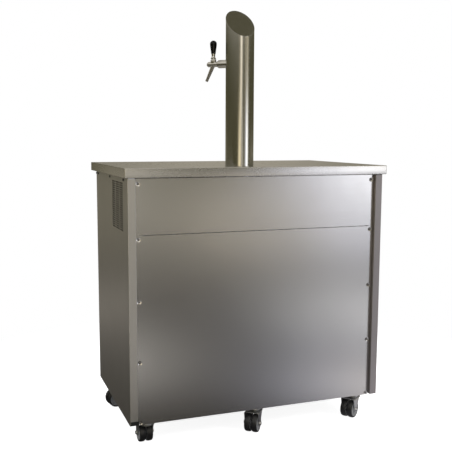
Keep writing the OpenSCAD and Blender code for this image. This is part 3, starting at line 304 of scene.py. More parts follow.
def mixColour(tree, factor, a, b):
    node = tree.nodes.new("ShaderNodeMix")
    node.data_type = "RGBA"
    for index, value in ((0, factor), (6, a), (7, b)):
        feed(tree, node.inputs[index], value)
    return node.outputs[2]


# Brushed grain: noise stretched along one way, in a fine and a coarse set of streaks
def makeGrain():
    group, stretch, out = newGroup("brushedGrain", "Stretch", "NodeSocketVector", (900, 900, 12),
                                   ("Streak", "Coarse"))
    vector = vectorNode(group, "MULTIPLY", objectPlace(group), stretch)
    fine = noiseNode(group, vector, 1.0, 2.0, 0.6)
    coarse = noiseNode(group, vectorNode(group, "MULTIPLY", vector, (0.16, 0.16, 0.16)), 1.0, 2.0, 0.5)
    group.links.new(rampNode(group, fine, 0.25, 0.75), out["Streak"])
    group.links.new(rampNode(group, coarse, 0.3, 0.7), out["Coarse"])
    return group


# Handling marks: soft blotches, small wiped smears and scattered specks
def makeMarks():
    group, size, out = newGroup("handlingMarks", "Size", "NodeSocketFloat", 6.0, ("Haze", "Smear", "Speck"))
    scaled = vectorNode(group, "SCALE", objectPlace(group), size)
    haze = noiseNode(group, scaled, 1.0, 4.0, 0.6)
    smear = noiseNode(group, vectorNode(group, "MULTIPLY", scaled, (3.1, 3.1, 9.0)), 1.0, 5.0, 0.65)
    speck = noiseNode(group, scaled, 60.0, 2.0, 0.7)
    group.links.new(rampNode(group, haze, 0.32, 0.68), out["Haze"])
    group.links.new(rampNode(group, smear, 0.55, 0.8), out["Smear"])
    group.links.new(rampNode(group, speck, 0.68, 0.8), out["Speck"])
    return group


# Dust: more on faces that look up, broken by noise
def makeDust():
    group, amount, out = newGroup("settledDust", "Amount", "NodeSocketFloat", 0.3, ("Dust",))
    up = group.nodes.new("ShaderNodeSeparateXYZ")
    group.links.new(group.nodes.new("ShaderNodeNewGeometry").outputs["Normal"], up.inputs[0])
    patch = rampNode(group, noiseNode(group, objectPlace(group), 45.0, 5.0, 0.65), 0.35, 0.75)
    facing = rampNode(group, up.outputs["Z"], 0.2, 1.0)
    group.links.new(times(group, times(group, patch, facing), amount), out["Dust"])
    return group


# Worn edges: brighter or duller where the surface bends outwards, broken by noise
def makeWear():
    group, reach, out = newGroup("edgeWear", "Reach", "NodeSocketFloat", 0.06, ("Wear",))
    point = group.nodes.new("ShaderNodeNewGeometry").outputs["Pointiness"]
    broken = rampNode(group, noiseNode(group, objectPlace(group), 160.0, 4.0, 0.7), 0.3, 0.6)
    edge = mathNode(group, "DIVIDE", mathNode(group, "SUBTRACT", point, 0.51), reach, clamp=True)
    group.links.new(times(group, edge, broken), out["Wear"])
    return group


grainGroup, marksGroup, dustGroup, wearGroup = makeGrain(), makeMarks(), makeDust(), makeWear()


def emptyTree(owner):
    owner.use_nodes = True
    owner.node_tree.nodes.clear()
    return owner.node_tree


def newMaterial(name):
    material = bpy.data.materials.new(name)
    tree = emptyTree(material)
    out = tree.nodes.new("ShaderNodeOutputMaterial")
    shader = tree.nodes.new("ShaderNodeBsdfPrincipled")
    tree.links.new(shader.outputs[0], out.inputs["Surface"])
    return material, tree, shader


def bumpInto(tree, shader, height, strength, distance, normal=None):
    bump = tree.nodes.new("ShaderNodeBump")
    values = {"Strength": strength, "Distance": distance, "Height": height, "Normal": normal}
    for label, value in values.items():
        feed(tree, bump.inputs[label], value)
    tree.links.new(bump.outputs[0], shader.inputs["Normal"])
    return bump.outputs[0]


# A colour made darker or lighter, at most white
def toned(tone, share, more=0.0):
    return tuple(min(1, c * share + more) for c in tone)


# Metal sheet or tube with a brushed grain, haze, smears and a slow waviness as thin sheet has
def brushedMetal(name, rough, tone=(0.52, 0.51, 0.49), stretch=(900, 900, 9), spread=0.03, grainBump=0.03,
                 coarse=0.02, wave=0.0007, haze=0.03, dust=0.05):
    material, tree, shader = newMaterial(name)
    grain = groupNode(tree, grainGroup, Stretch=stretch)
    marks = groupNode(tree, marksGroup, Size=5.0)
    settled = groupNode(tree, dustGroup, Amount=dust)["Dust"]
    colour = mixColour(tree, grain["Streak"], toned(tone, 1 - spread), toned(tone, 1 + spread))
    colour = mixColour(tree, times(tree, marks["Haze"], 0.5), colour, toned(tone, 0.93))
    colour = mixColour(tree, settled, colour, (0.55, 0.54, 0.52))
    tree.links.new(colour, shader.inputs["Base Color"])
    roughness = plus(tree, times(tree, grain["Coarse"], coarse), rough - coarse / 2)
    roughness = plus(tree, roughness, times(tree, marks["Haze"], haze))
    roughness = plus(tree, roughness, times(tree, marks["Smear"], haze))
    tree.links.new(plus(tree, roughness, settled), shader.inputs["Roughness"])
    shader.inputs["Metallic"].default_value = 1.0
    normal = None
    if wave:
        normal = bumpInto(tree, shader, noiseNode(tree, objectPlace(tree), 3.2, 1.0, 0.4), 1.0, wave)
    bumpInto(tree, shader, grain["Streak"], grainBump, 0.0001, normal)
    return material


# Plated or cast metal without grain: mottled tone, fine pits and worn edges
def platedMetal(name, tone, rough, mottle=0.12, size=60.0, pits=0.2, wearTone=(0.8, 0.79, 0.77), dust=0.15):
    material, tree, shader = newMaterial(name)
    marks = groupNode(tree, marksGroup, Size=size)
    settled = groupNode(tree, dustGroup, Amount=dust)["Dust"]
    worn = groupNode(tree, wearGroup)["Wear"]
    colour = mixColour(tree, marks["Haze"], toned(tone, 1 - mottle), toned(tone, 1 + mottle))
    colour = mixColour(tree, times(tree, worn, 0.6), colour, wearTone)
    colour = mixColour(tree, settled, colour, (0.42, 0.4, 0.37))
    tree.links.new(colour, shader.inputs["Base Color"])
    roughness = plus(tree, times(tree, marks["Smear"], 0.12), rough)
    tree.links.new(plus(tree, roughness, settled), shader.inputs["Roughness"])
    shader.inputs["Metallic"].default_value = 1.0
    bumpInto(tree, shader, noiseNode(tree, objectPlace(tree), 900.0, 3.0, 0.6), pits, 0.0002)
    return material


# Plastic, rubber, foam or lacquer: two tones in soft blotches, a fine moulded texture and settled dust
def mouldedSkin(name, tone, rough, other=None, texture=700.0, depth=0.25, dust=0.2, specks=0.0, sheen=0.0,
                coat=0.0, scatter=0.0, rub=0.04, specular=0.5):
    material, tree, shader = newMaterial(name)
    marks = groupNode(tree, marksGroup, Size=40.0)
    settled = groupNode(tree, dustGroup, Amount=dust)["Dust"]
    worn = groupNode(tree, wearGroup)["Wear"]
    colour = mixColour(tree, marks["Haze"], tone, other or toned(tone, 1.35))
    colour = mixColour(tree, times(tree, marks["Speck"], specks), colour, toned(tone, 0.6))
    colour = mixColour(tree, times(tree, worn, 0.35), colour, toned(tone, 1.5, rub))
    colour = mixColour(tree, settled, colour, (0.3, 0.29, 0.27))
    tree.links.new(colour, shader.inputs["Base Color"])
    roughness = plus(tree, times(tree, marks["Smear"], 0.15), rough)
    tree.links.new(plus(tree, roughness, settled, clamp=True), shader.inputs["Roughness"])
    for label, value in (("Coat Weight", coat), ("Sheen Weight", sheen), ("Subsurface Weight", scatter),
                         ("Specular IOR Level", specular)):
        shader.inputs[label].default_value = value
    bumpInto(tree, shader, noiseNode(tree, objectPlace(tree), texture, 3.0, 0.6), depth, 0.0003)
    return material


# Plywood: long grain on its faces and stacked plies where its edge shows
def plyWood(name):
    material, tree, shader = newMaterial(name)
    where = objectPlace(tree)
    grain = noiseNode(tree, vectorNode(tree, "MULTIPLY", where, (3, 60, 60)), 1.0, 6.0, 0.65)
    figure = noiseNode(tree, vectorNode(tree, "MULTIPLY", where, (1.5, 11, 11)), 1.0, 3.0, 0.5)
    plies = tree.nodes.new("ShaderNodeTexWave")
    plies.bands_direction = "Z"
    plies.inputs["Scale"].default_value = 110.0
    plies.inputs["Distortion"].default_value = 0.6
    tree.links.new(where, plies.inputs["Vector"])
    colour = mixColour(tree, rampNode(tree, grain, 0.3, 0.7), (0.42, 0.27, 0.14), (0.62, 0.45, 0.27))
    colour = mixColour(tree, rampNode(tree, figure, 0.45, 0.7), colour, (0.5, 0.33, 0.18))
    colour = mixColour(tree, times(tree, plies.outputs["Fac"], 0.3), colour, (0.3, 0.19, 0.1))
    tree.links.new(colour, shader.inputs["Base Color"])
    tree.links.new(plus(tree, times(tree, grain, 0.2), 0.55), shader.inputs["Roughness"])
    bumpInto(tree, shader, grain, 0.4, 0.0004)
    return material


castorNumbers = range(1, 7)
# Each finish: how it is made, its name and values, and the carried-over solids that take it
finishes = [
    (brushedMetal, "panelSteel", dict(stretch=(9, 800, 800), rough=0.24, spread=0.02, grainBump=0.01,
        coarse=0.015, haze=0.02),
        "rear_panel_upper rear_panel_lower front_fascia door_left_skin door_right_skin mullion"),
    (brushedMetal, "sideSteel", dict(rough=0.42), "side_panel_left"),
    # The right side panel is a darker copy of the side steel: painted shade on the right post
    (brushedMetal, "postSteel", dict(tone=(0.3, 0.28, 0.28), rough=0.45), "side_panel_right"),
    (brushedMetal, "worktopSteel", dict(stretch=(9, 900, 900), rough=0.25, grainBump=0.02, wave=0.0005,
        dust=0.1), "worktop"),
    (brushedMetal, "towerSteel", dict(tone=(0.5, 0.49, 0.45), stretch=(500, 500, 900), rough=0.2,
        grainBump=0.015, coarse=0.015, wave=0.0, haze=0.02), "tower_tube tower_cap"),
    (brushedMetal, "linerSteel", dict(tone=(0.58, 0.58, 0.57), stretch=(12, 800, 800), rough=0.34,
        spread=0.09, grainBump=0.12, coarse=0.05, wave=0.001, haze=0.06), "inner_liner"),
    (platedMetal, "satinMetal", dict(tone=(0.56, 0.54, 0.5), rough=0.2, mottle=0.05, pits=0.05,
        dust=0.03), "keg_union tap_shank tap_body tap_lever"),
    (platedMetal, "brightChrome", dict(tone=(0.64, 0.63, 0.6), rough=0.09, mottle=0.03, pits=0.02,
        dust=0.02), ""),
    # Screw heads: the zinc plate toned far darker to dim their glint, which is painted shade
    (platedMetal, "screwSteel", dict(tone=(0.2, 0.19, 0.19), rough=0.4, mottle=0.05, pits=0.05, dust=0.03,
        wearTone=(0.4, 0.4, 0.4)), ""),
    (platedMetal, "zincPlate", dict(tone=(0.55, 0.56, 0.57), rough=0.28),
        "panel_screws hinge_brackets castor_plates castor_bolts door_left_handle door_right_handle "
        + " ".join("castor_fork_%d" % i for i in castorNumbers)),
    (platedMetal, "galvanised", dict(tone=(0.5, 0.51, 0.53), rough=0.42, mottle=0.2, size=28.0),
        "machine_deck fan_shroud fan_motor tower_clamp"),
    (platedMetal, "finMetal", dict(tone=(0.5, 0.51, 0.52), rough=0.4, mottle=0.1), "evaporator"),
    # Condenser near-black, partly its black coating and partly painted shade, so that the vent slots in front
    # of it read dark
    (mouldedSkin, "finPaint", dict(tone=(0.008, 0.008, 0.008), rough=0.5, texture=300.0, dust=0.1),
        "condenser"),
    (platedMetal, "copperTube", dict(tone=(0.62, 0.3, 0.17), rough=0.3, mottle=0.25,
        wearTone=(0.8, 0.5, 0.35)), "refrigerant_pipes"),
    # Near-black enamel of the compressor; on the base frame the same near-black stands in for the shade in
    # the notch at each post's foot, which is painted shade
    (mouldedSkin, "blackEnamel", dict(tone=(0.005, 0.005, 0.0055), rough=0.32, texture=260.0, dust=0.12,
        rub=0.015, coat=0.2), "compressor base_frame"),
    (mouldedSkin, "knobPlastic", dict(tone=(0.002, 0.002, 0.002), rough=0.16, depth=0.03, dust=0.008,
        rub=0.004, specular=0.25), "tap_knob"),
    (mouldedSkin, "mattBlack", dict(tone=(0.02, 0.02, 0.021), rough=0.5),
        "side_bolts power_switch cable_gland fan_blades thermostat_knob"),
    (mouldedSkin, "treadRubber", dict(tone=(0.006, 0.006, 0.007), other=(0.01, 0.01, 0.0105), rough=0.42,
        dust=0.12, rub=0.01), " ".join("castor_wheels_%d" % i for i in castorNumbers)),
    (mouldedSkin, "discPlastic", dict(tone=(0.2, 0.205, 0.21), other=(0.26, 0.26, 0.265), rough=0.4,
        dust=0.4), ""),
    (mouldedSkin, "sealRubber", dict(tone=(0.05, 0.05, 0.052), rough=0.55, sheen=0.2),
        "door_left_gasket door_right_gasket"),
    (mouldedSkin, "whitePlastic", dict(tone=(0.66, 0.65, 0.61), other=(0.74, 0.73, 0.69), rough=0.35,
        dust=0.1), "thermostat tap_plunger"),
    (mouldedSkin, "doorLining", dict(tone=(0.7, 0.7, 0.68), other=(0.76, 0.76, 0.74), rough=0.3,
        texture=220.0, dust=0.05), "door_left_inner door_right_inner"),
    (mouldedSkin, "hosePlastic", dict(tone=(0.55, 0.56, 0.5), other=(0.62, 0.62, 0.56), rough=0.2,
        scatter=0.2), "beer_line"),
    (mouldedSkin, "rockerRed", dict(tone=(0.42, 0.02, 0.015), rough=0.18, dust=0.02, coat=0.4),
        "switch_rocker"),
    (mouldedSkin, "rigidFoam", dict(tone=(0.62, 0.5, 0.27), other=(0.72, 0.6, 0.36), rough=0.8,
        texture=420.0, depth=0.8, specks=0.5), "insulation"),
    (mouldedSkin, "foamSleeve", dict(tone=(0.025, 0.025, 0.026), rough=0.85, texture=900.0, depth=0.9,
        sheen=0.3), "line_insulation"),
    (plyWood, "plyWood", {}, "worktop_board"),
]
looks = {}
for make, look, values, solids in finishes:
    looks[look] = make(look, **values)
    for solid in solids.split():
        nodes[solid].data.materials.clear()
        nodes[solid].data.materials.append(looks[look])
print("materials made:", len(looks))


jointAt = {joint["name"]: joint for joint in frame["joints"]}

# Worktop: a sheet carried round the edge, from the inner lip over the folds to the top. Its section is
# (inset, height), and the flat top goes on inwards from the rim
worktop = {
    "low": (-0.55, -0.35, 1.047), "high": (0.55, 0.35, 1.083), "lip": 0.009, "sheet": 0.0015, "hem": 0.0003,
    "fold": 0.0022, "corner": 0.0026, "rim": 0.02, "flat": (0.03, 0.34)
}


def addWorktop():
    (x0, y0, z0), (x1, y1, z1) = worktop["low"], worktop["high"]
    lip, fold = worktop["lip"], worktop["fold"]
    outline = rounded(rectangle(x0, y0, x1, y1), worktop["corner"], 6, closed=True)
    corners = [(lip, z0 + worktop["sheet"]), (lip, z0), (0, z0), (0, z1), (worktop["rim"], z1)]
    section = rounded(corners, [0, worktop["hem"], fold, fold, 0], 6)
    flat = np.linspace(*worktop["flat"], 12)
    section = np.concatenate([section, np.stack([flat, 0 * flat + z1], -1)])
    inset, height = section[:, :1], section[:, 1:]
    # each point moves in towards the middle by the inset, along x and along y
    x, y = (p - np.sign(p) * np.minimum(inset, np.abs(p)) for p in outline.T)
    points = np.stack([x, y, height + 0 * x], -1)
    piece = addPiece("worktopSheet", [surface(points, wrapV=True, caps=(False, True))], "worktopSteel",
                     "cabinet", 50)
    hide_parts("worktop")


# Pan-head screws with a cross recess: a lathe whose top sinks where a point lies on either bar of the cross
screws = {
    "headRadius": 0.0043, "headRise": 0.0019, "dome": 0.82, "rim": 0.0004, "bar": 0.0008, "reach": 0.0024,
    "sink": 0.0011, "columns": (-0.494, 0.494), "rows": (1.024, 0.816, 0.5795, 0.343, 0.1065),
    "face": -0.3206, "turnPerRow": 0.7, "turnPerColumn": 1.9
}


def screwHead():
    radius, reach, bar = (screws[k] for k in ("headRadius", "reach", "bar"))
    inside, outside = np.linspace(0, reach * 1.05, 9), np.linspace(reach * 1.15, radius, 8)
    r = np.concatenate([inside, outside, [radius, radius * 0.5]])
    rise = screws["headRise"] * np.sqrt(np.clip(1 - (r / radius) ** 2 * screws["dome"], 0, 1))
    rise[-2:] = (screws["rim"], 0.0)
    a = roundTurn(40)
    onTop = (r < reach) & (np.arange(len(r)) < len(r) - 2)
    onBar = onTop & ((np.abs(r * np.cos(a)) < bar) | (np.abs(r * np.sin(a)) < bar))
    return turned(r, rise - screws["sink"] * onBar, a)


def addPanelScrews():
    parts, head = [], screwHead()
    for k, x in enumerate(screws["columns"]):
        for j, z in enumerate(screws["rows"]):
            turn = screws["turnPerRow"] * j + screws["turnPerColumn"] * k
            side = (math.cos(turn), 0, math.sin(turn))
            points = placed(head, origin=(x, screws["face"], z), axis=(0, -1, 0), side=side)
            parts.append(surface(points, wrapU=True))
    # The heads take the darkened screw steel: painted shade
    piece = addPiece("panelScrewHeads", parts, "screwSteel", "cabinet", 30)
    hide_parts("panel_screws")


# Castor parts stand in the castor's own axes: x the way it trails, y along the axle, z up. Profiles are
# (radius, height) about the swivel; the tread's is (inset from its radius, distance from the wheel's side)
# and the disc's is (radius, distance from that side)
castor = {
    "trail": 0.034, "wheelRadius": 0.0375, "wheelWidth": 0.024, "gap": 0.006, "legInside": 0.028,
    "sheet": 0.003, "sheetEdge": 0.0006, "crownTop": 0.086, "crownHalf": 0.031, "crownFront": 0.0015,
    "crownBack": 0.054, "footRadius": 0.012, "bend": 0.005, "legEase": 1.15, "ribWidth": 0.13,
    "ribHeight": 0.0011, "axleRadius": 0.0049, "axleHalf": 0.0285, "boltRadius": 0.0074, "boltHeight": 0.0046,
    "washerThick": 0.0012, "washerRadii": (0.005, 0.0095),
    "race": [(0.0065, 0.0785), (0.0105, 0.0785), (0.0105, 0.0855), (0.0268, 0.0862), (0.0268, 0.0895),
        (0.0225, 0.0926), (0.0135, 0.0926), (0.0065, 0.0926)],
    "pin": [(0, 0.0776), (0.0052, 0.0776), (0.0063, 0.0788), (0.0063, 0.1), (0, 0.1)],
    "tread": [(0.0068, 0.0012), (0.0022, 0), (0, 0.0062)], "treadCuts": [0, 0.0025, 0.004],
    "disc": [(0.0056, 0), (0.0125, 0), (0.0138, 0.0032), (0.0255, 0.0036), (0.0272, 0.0008)],
    "discCuts": [0, 0.0008, 0.001, 0.0012, 0.0012, 0.0007, 0.0006, 0],
    "discRim": (0.0066, 0.0008), "pockets": 6, "pocketRadius": 0.0195, "pocketWidth": 0.0036,
    "pocketDepth": 0.0022
}


def castorFrame(i):
    swivel, roll = (jointAt["castor_%s_%d" % (kind, i)]["pos_m"] for kind in ("swivel", "roll"))
    ahead = np.array(roll) - np.array(swivel)
    ahead[2] = 0
    return {"origin": (swivel[0], swivel[1], 0), "axis": (0, 0, 1), "side": ahead / np.linalg.norm(ahead)}


# Fork: one pressed sheet. u runs up one leg, over the crown and down the other; v runs from the front
# edge to the back one. The legs narrow to a half round about the axle, the crown has a round front,
# and a rib is pressed along each leg, fading out towards the axle and the crown
def forkSheet(c):
    axle, top, half = c["wheelRadius"], c["crownTop"] - c["sheet"] / 2, c["legInside"] + c["sheet"] / 2
    foot, bend, trail = c["footRadius"], c["bend"], c["trail"]
    front, back = c["crownFront"], c["crownBack"]
    corners = [(-half, axle - foot), (-half, top), (half, top), (half, axle - foot)]
    path = rounded(corners, [0, bend, bend, 0], 9)
    legs = np.linspace(axle - foot, top - bend, 30)[1:-1]
    left = np.stack([0 * legs - half, legs], -1)
    across = np.linspace(bend - half, half - bend, 22)[1:-1]
    crown = np.stack([across, 0 * across + top], -1)
    path = np.concatenate([path[:1], left, path[1:10], crown, path[10:19], (left * (-1, 1))[::-1], path[-1:]])
    y, z = path.T
    onLeg = z < top - bend * 0.99
    low = np.clip(1 - ((z - axle) / foot) ** 2, 0, 1) ** 0.5 * foot
    share = np.clip((z - axle) / (top - bend - axle), 0, 1)
    ease = share ** c["legEase"]
    legFront = np.where(z < axle, trail - low, trail - foot + (front - trail + foot) * ease)
    legBack = np.where(z < axle, trail + low, trail + foot + (back - trail - foot) * ease)
    roundFront = front - np.sqrt(np.clip(c["crownHalf"] ** 2 - y ** 2, 0, None))
    near = np.where(onLeg, legFront, np.minimum(front, roundFront))[:, None]
    far = np.where(onLeg, legBack, back)[:, None]
    v = np.linspace(0, 1, 13)
    x = near * (1 - v) + far * v
    fade = np.clip(share * 4 - 0.9, 0, 1) * np.clip((1 - share) * 9, 0, 1)
    rib = np.exp(-((v - 0.5) / c["ribWidth"]) ** 2) * fade[:, None] * c["ribHeight"]
    outward = np.where(onLeg, np.sign(y), 0)[:, None]
    return np.stack([x, y[:, None] + outward * rib, z[:, None] + 0 * x], -1)


def addCastorFork(i):
    c, where = castor, castorFrame(i)
    body = "castor_fork_%d" % i
    edge = {"width": c["sheetEdge"], "segments": 2, "limit_method": "ANGLE", "angle_limit": 0.9}
    pressed = moved([surface(forkSheet(c))], **where)
    sheet = addPiece("forkSheet%d" % i, pressed, "zincPlate", body, 40,
                     [("SOLIDIFY", {"thickness": c["sheet"], "offset": 0.0}), ("BEVEL", edge)])
    parts = [spun(c["race"], 0.0009, 4, 56), spun(c["pin"], 0.0006, 4, 32)]
    at = np.array([c["trail"], 0, c["wheelRadius"]])
    bore, rim = c["washerRadii"]
    thick, radius, height = c["washerThick"], c["boltRadius"], c["boltHeight"]
    for side in (-1, 1):
        out, axis = c["legInside"] + c["sheet"], (0, side, 0)
        washer = rectangle(bore, 0, rim, thick)
        parts.append(spun(washer, 0.0003, 3, 40, origin=at + (0, side * out, 0), axis=axis))
        layers = [(0.0003, 0), (0, 0.0004), (0, height - 0.0006), (radius * 0.12, height)]
        seat = at + (0, side * (out + thick), 0)
        parts.append(prism(hexagon(radius, 0.0003), layers, origin=seat, axis=axis))
        tip = [(0, 0.0072 if side > 0 else 0.0052), (0.0038, 0.0068 if side > 0 else 0.005), (0.0042, 0.0055),
               (0.0042, 0.002)]
        parts.append(lathe(tip, 24, origin=at + (0, side * (out - thick), 0), axis=axis))
    axle = rectangle(0, -c["axleHalf"], c["axleRadius"], c["axleHalf"])
    parts.append(lathe(axle, 28, origin=at, axis=(0, 1, 0)))
    addPiece("forkTrim%d" % i, moved(parts, **where), "zincPlate", body, 35)
    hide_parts(body)


# Wheel: tread and disc are two lathes about the axle. The disc has a raised rim, a web pressed with
# shallow pockets whose depth goes with the cosine of six times the angle, and a hub
def addCastorWheels(i):
    c, where = castor, castorFrame(i)
    body = "castor_wheels_%d" % i
    r, half = c["wheelRadius"], c["wheelWidth"] / 2
    flank = [(r - inset, half - down) for inset, down in c["tread"]]
    tread = [(a, -b) for a, b in flank] + flank[::-1]
    edge = r - c["discRim"][0]
    disc = [(a, half - down) for a, down in c["disc"]]
    profile = [(0.0056, 0)] + disc + [(edge, half - c["discRim"][1]), (edge, 0)]
    rr, hh = rounded(profile, c["discCuts"], 4).T
    a = roundTurn(72)
    web = np.exp(-((rr - c["pocketRadius"]) / c["pocketWidth"]) ** 2)
    pocket = web * (0.5 + 0.5 * np.cos(c["pockets"] * a)) * c["pocketDepth"] * (hh > half * 0.5)
    rubber, plastic = [], []
    for side in (-1, 1):
        onAxle = {"origin": (c["trail"], side * (2 * half + c["gap"]) / 2, r), "axis": (0, 1, 0)}
        rubber.append(spun(tread, c["treadCuts"] + c["treadCuts"][::-1], 7, 72, **onAxle))
        for face in (-1, 1):
            plastic.append(surface(placed(turned(rr, (hh - pocket) * face, a), **onAxle), wrapU=True))
    treads = addPiece("castorTread%d" % i, moved(rubber, **where), "treadRubber", body, 40)
    addPiece("castorDisc%d" % i, moved(plastic, **where), "discPlastic", body, 40)
    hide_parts(body)


# Tap: everything stands on the tap's axis, which leaves the tower at a right angle
tap = {
    "tower": (-0.068, -0.256), "height": 1.482, "ahead": (-0.70711, 0.70711, 0),
    "across": (0.70711, 0.70711, 0), "pivot": 0.1145, "rise": 0.012, "leverTop": 0.0415, "knobHeight": 0.051,
    "knobRadius": 0.0135, "knobFoot": 0.0093, "knobCrown": 0.0125, "partingHeight": 0.00009,
    "partingWidth": 0.04, "ballRadius": 0.0026, "ballDrop": 0.012, "flutes": 40, "fluteDepth": 0.00012,
    "fluteMiddle": 0.0112, "fluteHalf": 0.0016, "pinRadius": 0.0025, "collarEnd": 0.0943,
    "collarBulge": 0.0104, "collarRadius": 0.0161, "collarFace": 0.0114, "beadAt": 0.0898,
    "beadHeight": 0.0003, "beadWidth": 0.0006, "cheekHalf": (0.0103, 0.0097), "cheekGap": 0.00445,
    "cheekTop": 0.0199, "cheekPower": 3, "leverReach": 0.0082, "leverTravel": 35, "noseCentre": 0.132,
    "noseRadius": 0.01062, "noseRoot": 0.1213, "spoutAngle": 25.5, "spoutLength": 0.0727,
    "spoutRoot": 0.00835, "spoutTip": 0.00555, "spoutBore": 0.00345, "shankBore": 0.0036,
    "shank": [(0.008, 0.0525), (0.008, 0.0411), (0.0065, 0.0411), (0.0065, 0.035), (0.0049, 0.035),
        (0.0049, 0.047)],
    "nutRadius": 0.012, "nutFrom": 0.0441, "nutTo": 0.0511
}


def onTap(along, up=0.0):
    return np.array((*tap["tower"], tap["height"])) + along * np.array(tap["ahead"]) + (0, 0, up)


# Knob: a pear whose radius swells with a smooth step and closes in an ellipse at the top; the moulding's
# parting line is a hair-thin ridge on two opposite sides
def addKnob():
    h, r, foot, crown = tap["knobHeight"], tap["knobRadius"], tap["knobFoot"], tap["knobCrown"]
    t = np.linspace(0, 1, 40)
    swell = foot + (r - foot) * (3 * t ** 2 - 2 * t ** 3) ** 0.9
    body = np.concatenate([[(0.0032, 0.0), (foot - 0.0008, 0.0), (foot - 0.0001, 0.0006)],
                           np.stack([swell, (h - crown) * t], -1)[2:], quarter(r, h - crown, crown, 20)[1:]])
    turn = roundTurn(96)
    ridge = tap["partingHeight"] * np.exp(-(np.sin(turn) / tap["partingWidth"]) ** 2) * (body[:, 0] > 0.004)
    knob = placed(turned(body[:, 0] + ridge, body[:, 1], turn), origin=onTap(tap["pivot"], tap["leverTop"]))
    piece = addPiece("leverKnob", [surface(knob, wrapU=True)], "knobPlastic", "tap_lever_set",
                     60)
    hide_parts("tap_knob")


# Lever: stem with its ball and pin, a finely fluted bonnet ring, the neck and the ferrule under the knob
def addLever():
    pivot = onTap(tap["pivot"], tap["rise"])
    a = np.linspace(0, 2.4, 14)
    ball = np.stack([tap["ballRadius"] * np.sin(a), -tap["ballDrop"] - tap["ballRadius"] * np.cos(a)], -1)
    stem = rounded([(0.0018, -0.0105), (0.0018, -0.004), (0.0040, -0.001), (0.0040, 0.0078), (0.0085, 0.0085),
                    (0.0094, 0.0091)], [0, 0.001, 0.0015, 0.0008, 0.0006, 0], 5)
    neck = [(0.0094, 0.0133), (0.0086, 0.0142), (0.0073, 0.0158), (0.0070, 0.0222), (0.0074, 0.0252),
            (0.0079, 0.0256), (0.0079, 0.029), (0.0074, 0.0295), (0.0, 0.0295)]
    neckCuts = [0, 0.0006, 0.0012, 0.002, 0.0008, 0.0003, 0.0005, 0.0003, 0]
    ring = rounded([(0.0092, 0.0089), (0.0100, 0.0094), (0.0100, 0.0130), (0.0092, 0.0135)],
                   [0, 0.0004, 0.0004, 0], 4)
    rr, hh = ring.T
    turn = roundTurn(160)
    depth = tap["fluteDepth"] * (0.5 + 0.5 * np.cos(tap["flutes"] * turn))
    fluted = rr - depth * (np.abs(hh - tap["fluteMiddle"]) < tap["fluteHalf"])
    end, r = tap["cheekHalf"][1] + 0.0005, tap["pinRadius"]
    pin = [(0, -end), (r - 0.0004, -end), (r, 0.0006 - end), (r, end - 0.0006), (r - 0.0004, end), (0, end)]
    parts = [lathe(np.concatenate([ball, stem]), 40, origin=pivot), spun(neck, neckCuts, 5, 48, origin=pivot),
             surface(placed(turned(fluted, hh, turn), origin=pivot), wrapU=True),
             spun(pin, 0.0003, 4, 28, origin=pivot, axis=tap["across"])]
    piece = addPiece("leverStem", parts, "brightChrome", "tap_lever_set", 35)
    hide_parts("tap_lever")


# Cheeks of the fixed tap: two upright blocks round the lever's ears, whose outline is
# |x/a|^n + |y/b|^n = 1. Their tops fall away in front, below the line that the lever's ring reaches at
# the end of its travel
def cheekParts():
    (a, b), gap, n = tap["cheekHalf"], tap["cheekGap"], tap["cheekPower"]
    start = math.asin((gap / b) ** (n / 2))
    turn = np.linspace(start, np.pi - start, 25)
    x = a * np.sign(np.cos(turn)) * np.abs(np.cos(turn)) ** (2 / n)
    outline = np.stack([x, b * np.sin(turn) ** (2 / n)], -1)
    travel = math.radians(tap["leverTravel"])
    parts = []
    for side in (1, -1):
        points, faces = prism((outline * (1, side))[::side], easedLayers(0.001, tap["cheekTop"], 0.0007, 5))
        reach = tap["rise"] + (tap["leverReach"] - np.sin(travel) * points[:, 0]) / np.cos(travel)
        points[:, 2] = np.minimum(points[:, 2], reach)
        parts.append((placed(points, origin=onTap(tap["pivot"]), side=tap["ahead"]), faces))
    return parts


# Fixed tap: its cheeks, a ball-shaped nose and the spout with its rolled tip
def addTapShell():
    tilt = math.radians(tap["spoutAngle"])
    down = np.array(tap["ahead"]) * math.sin(tilt) + np.array([0, 0, -math.cos(tilt)])
    long, root, tip, bore = (tap["spout" + k] for k in ("Length", "Root", "Tip", "Bore"))
    spout = [(root - 0.0003, 0.006), (tip, long - 0.0012), (tip - 0.0001, long), (0.0040, long),
             (bore, long - 0.0006), (bore, 0.05)]
    r, middle, start = tap["noseRadius"], tap["noseCentre"], tap["noseRoot"]
    nose = np.concatenate([[(r - 0.0004, start), (r, start + 0.0003)], quarter(r, middle, r, 20)])
    parts = cheekParts()
    cuts = [0, 0.0006, 0.0007, 0.0004, 0.0003, 0]
    parts.append(spun(spout, cuts, 5, 48, origin=onTap(tap["pivot"] - 0.001), axis=down))
    parts.append(lathe(nose, 56, origin=onTap(0), axis=tap["ahead"]))
    addPiece("tapShell", parts, "satinMetal", "cabinet", 35)


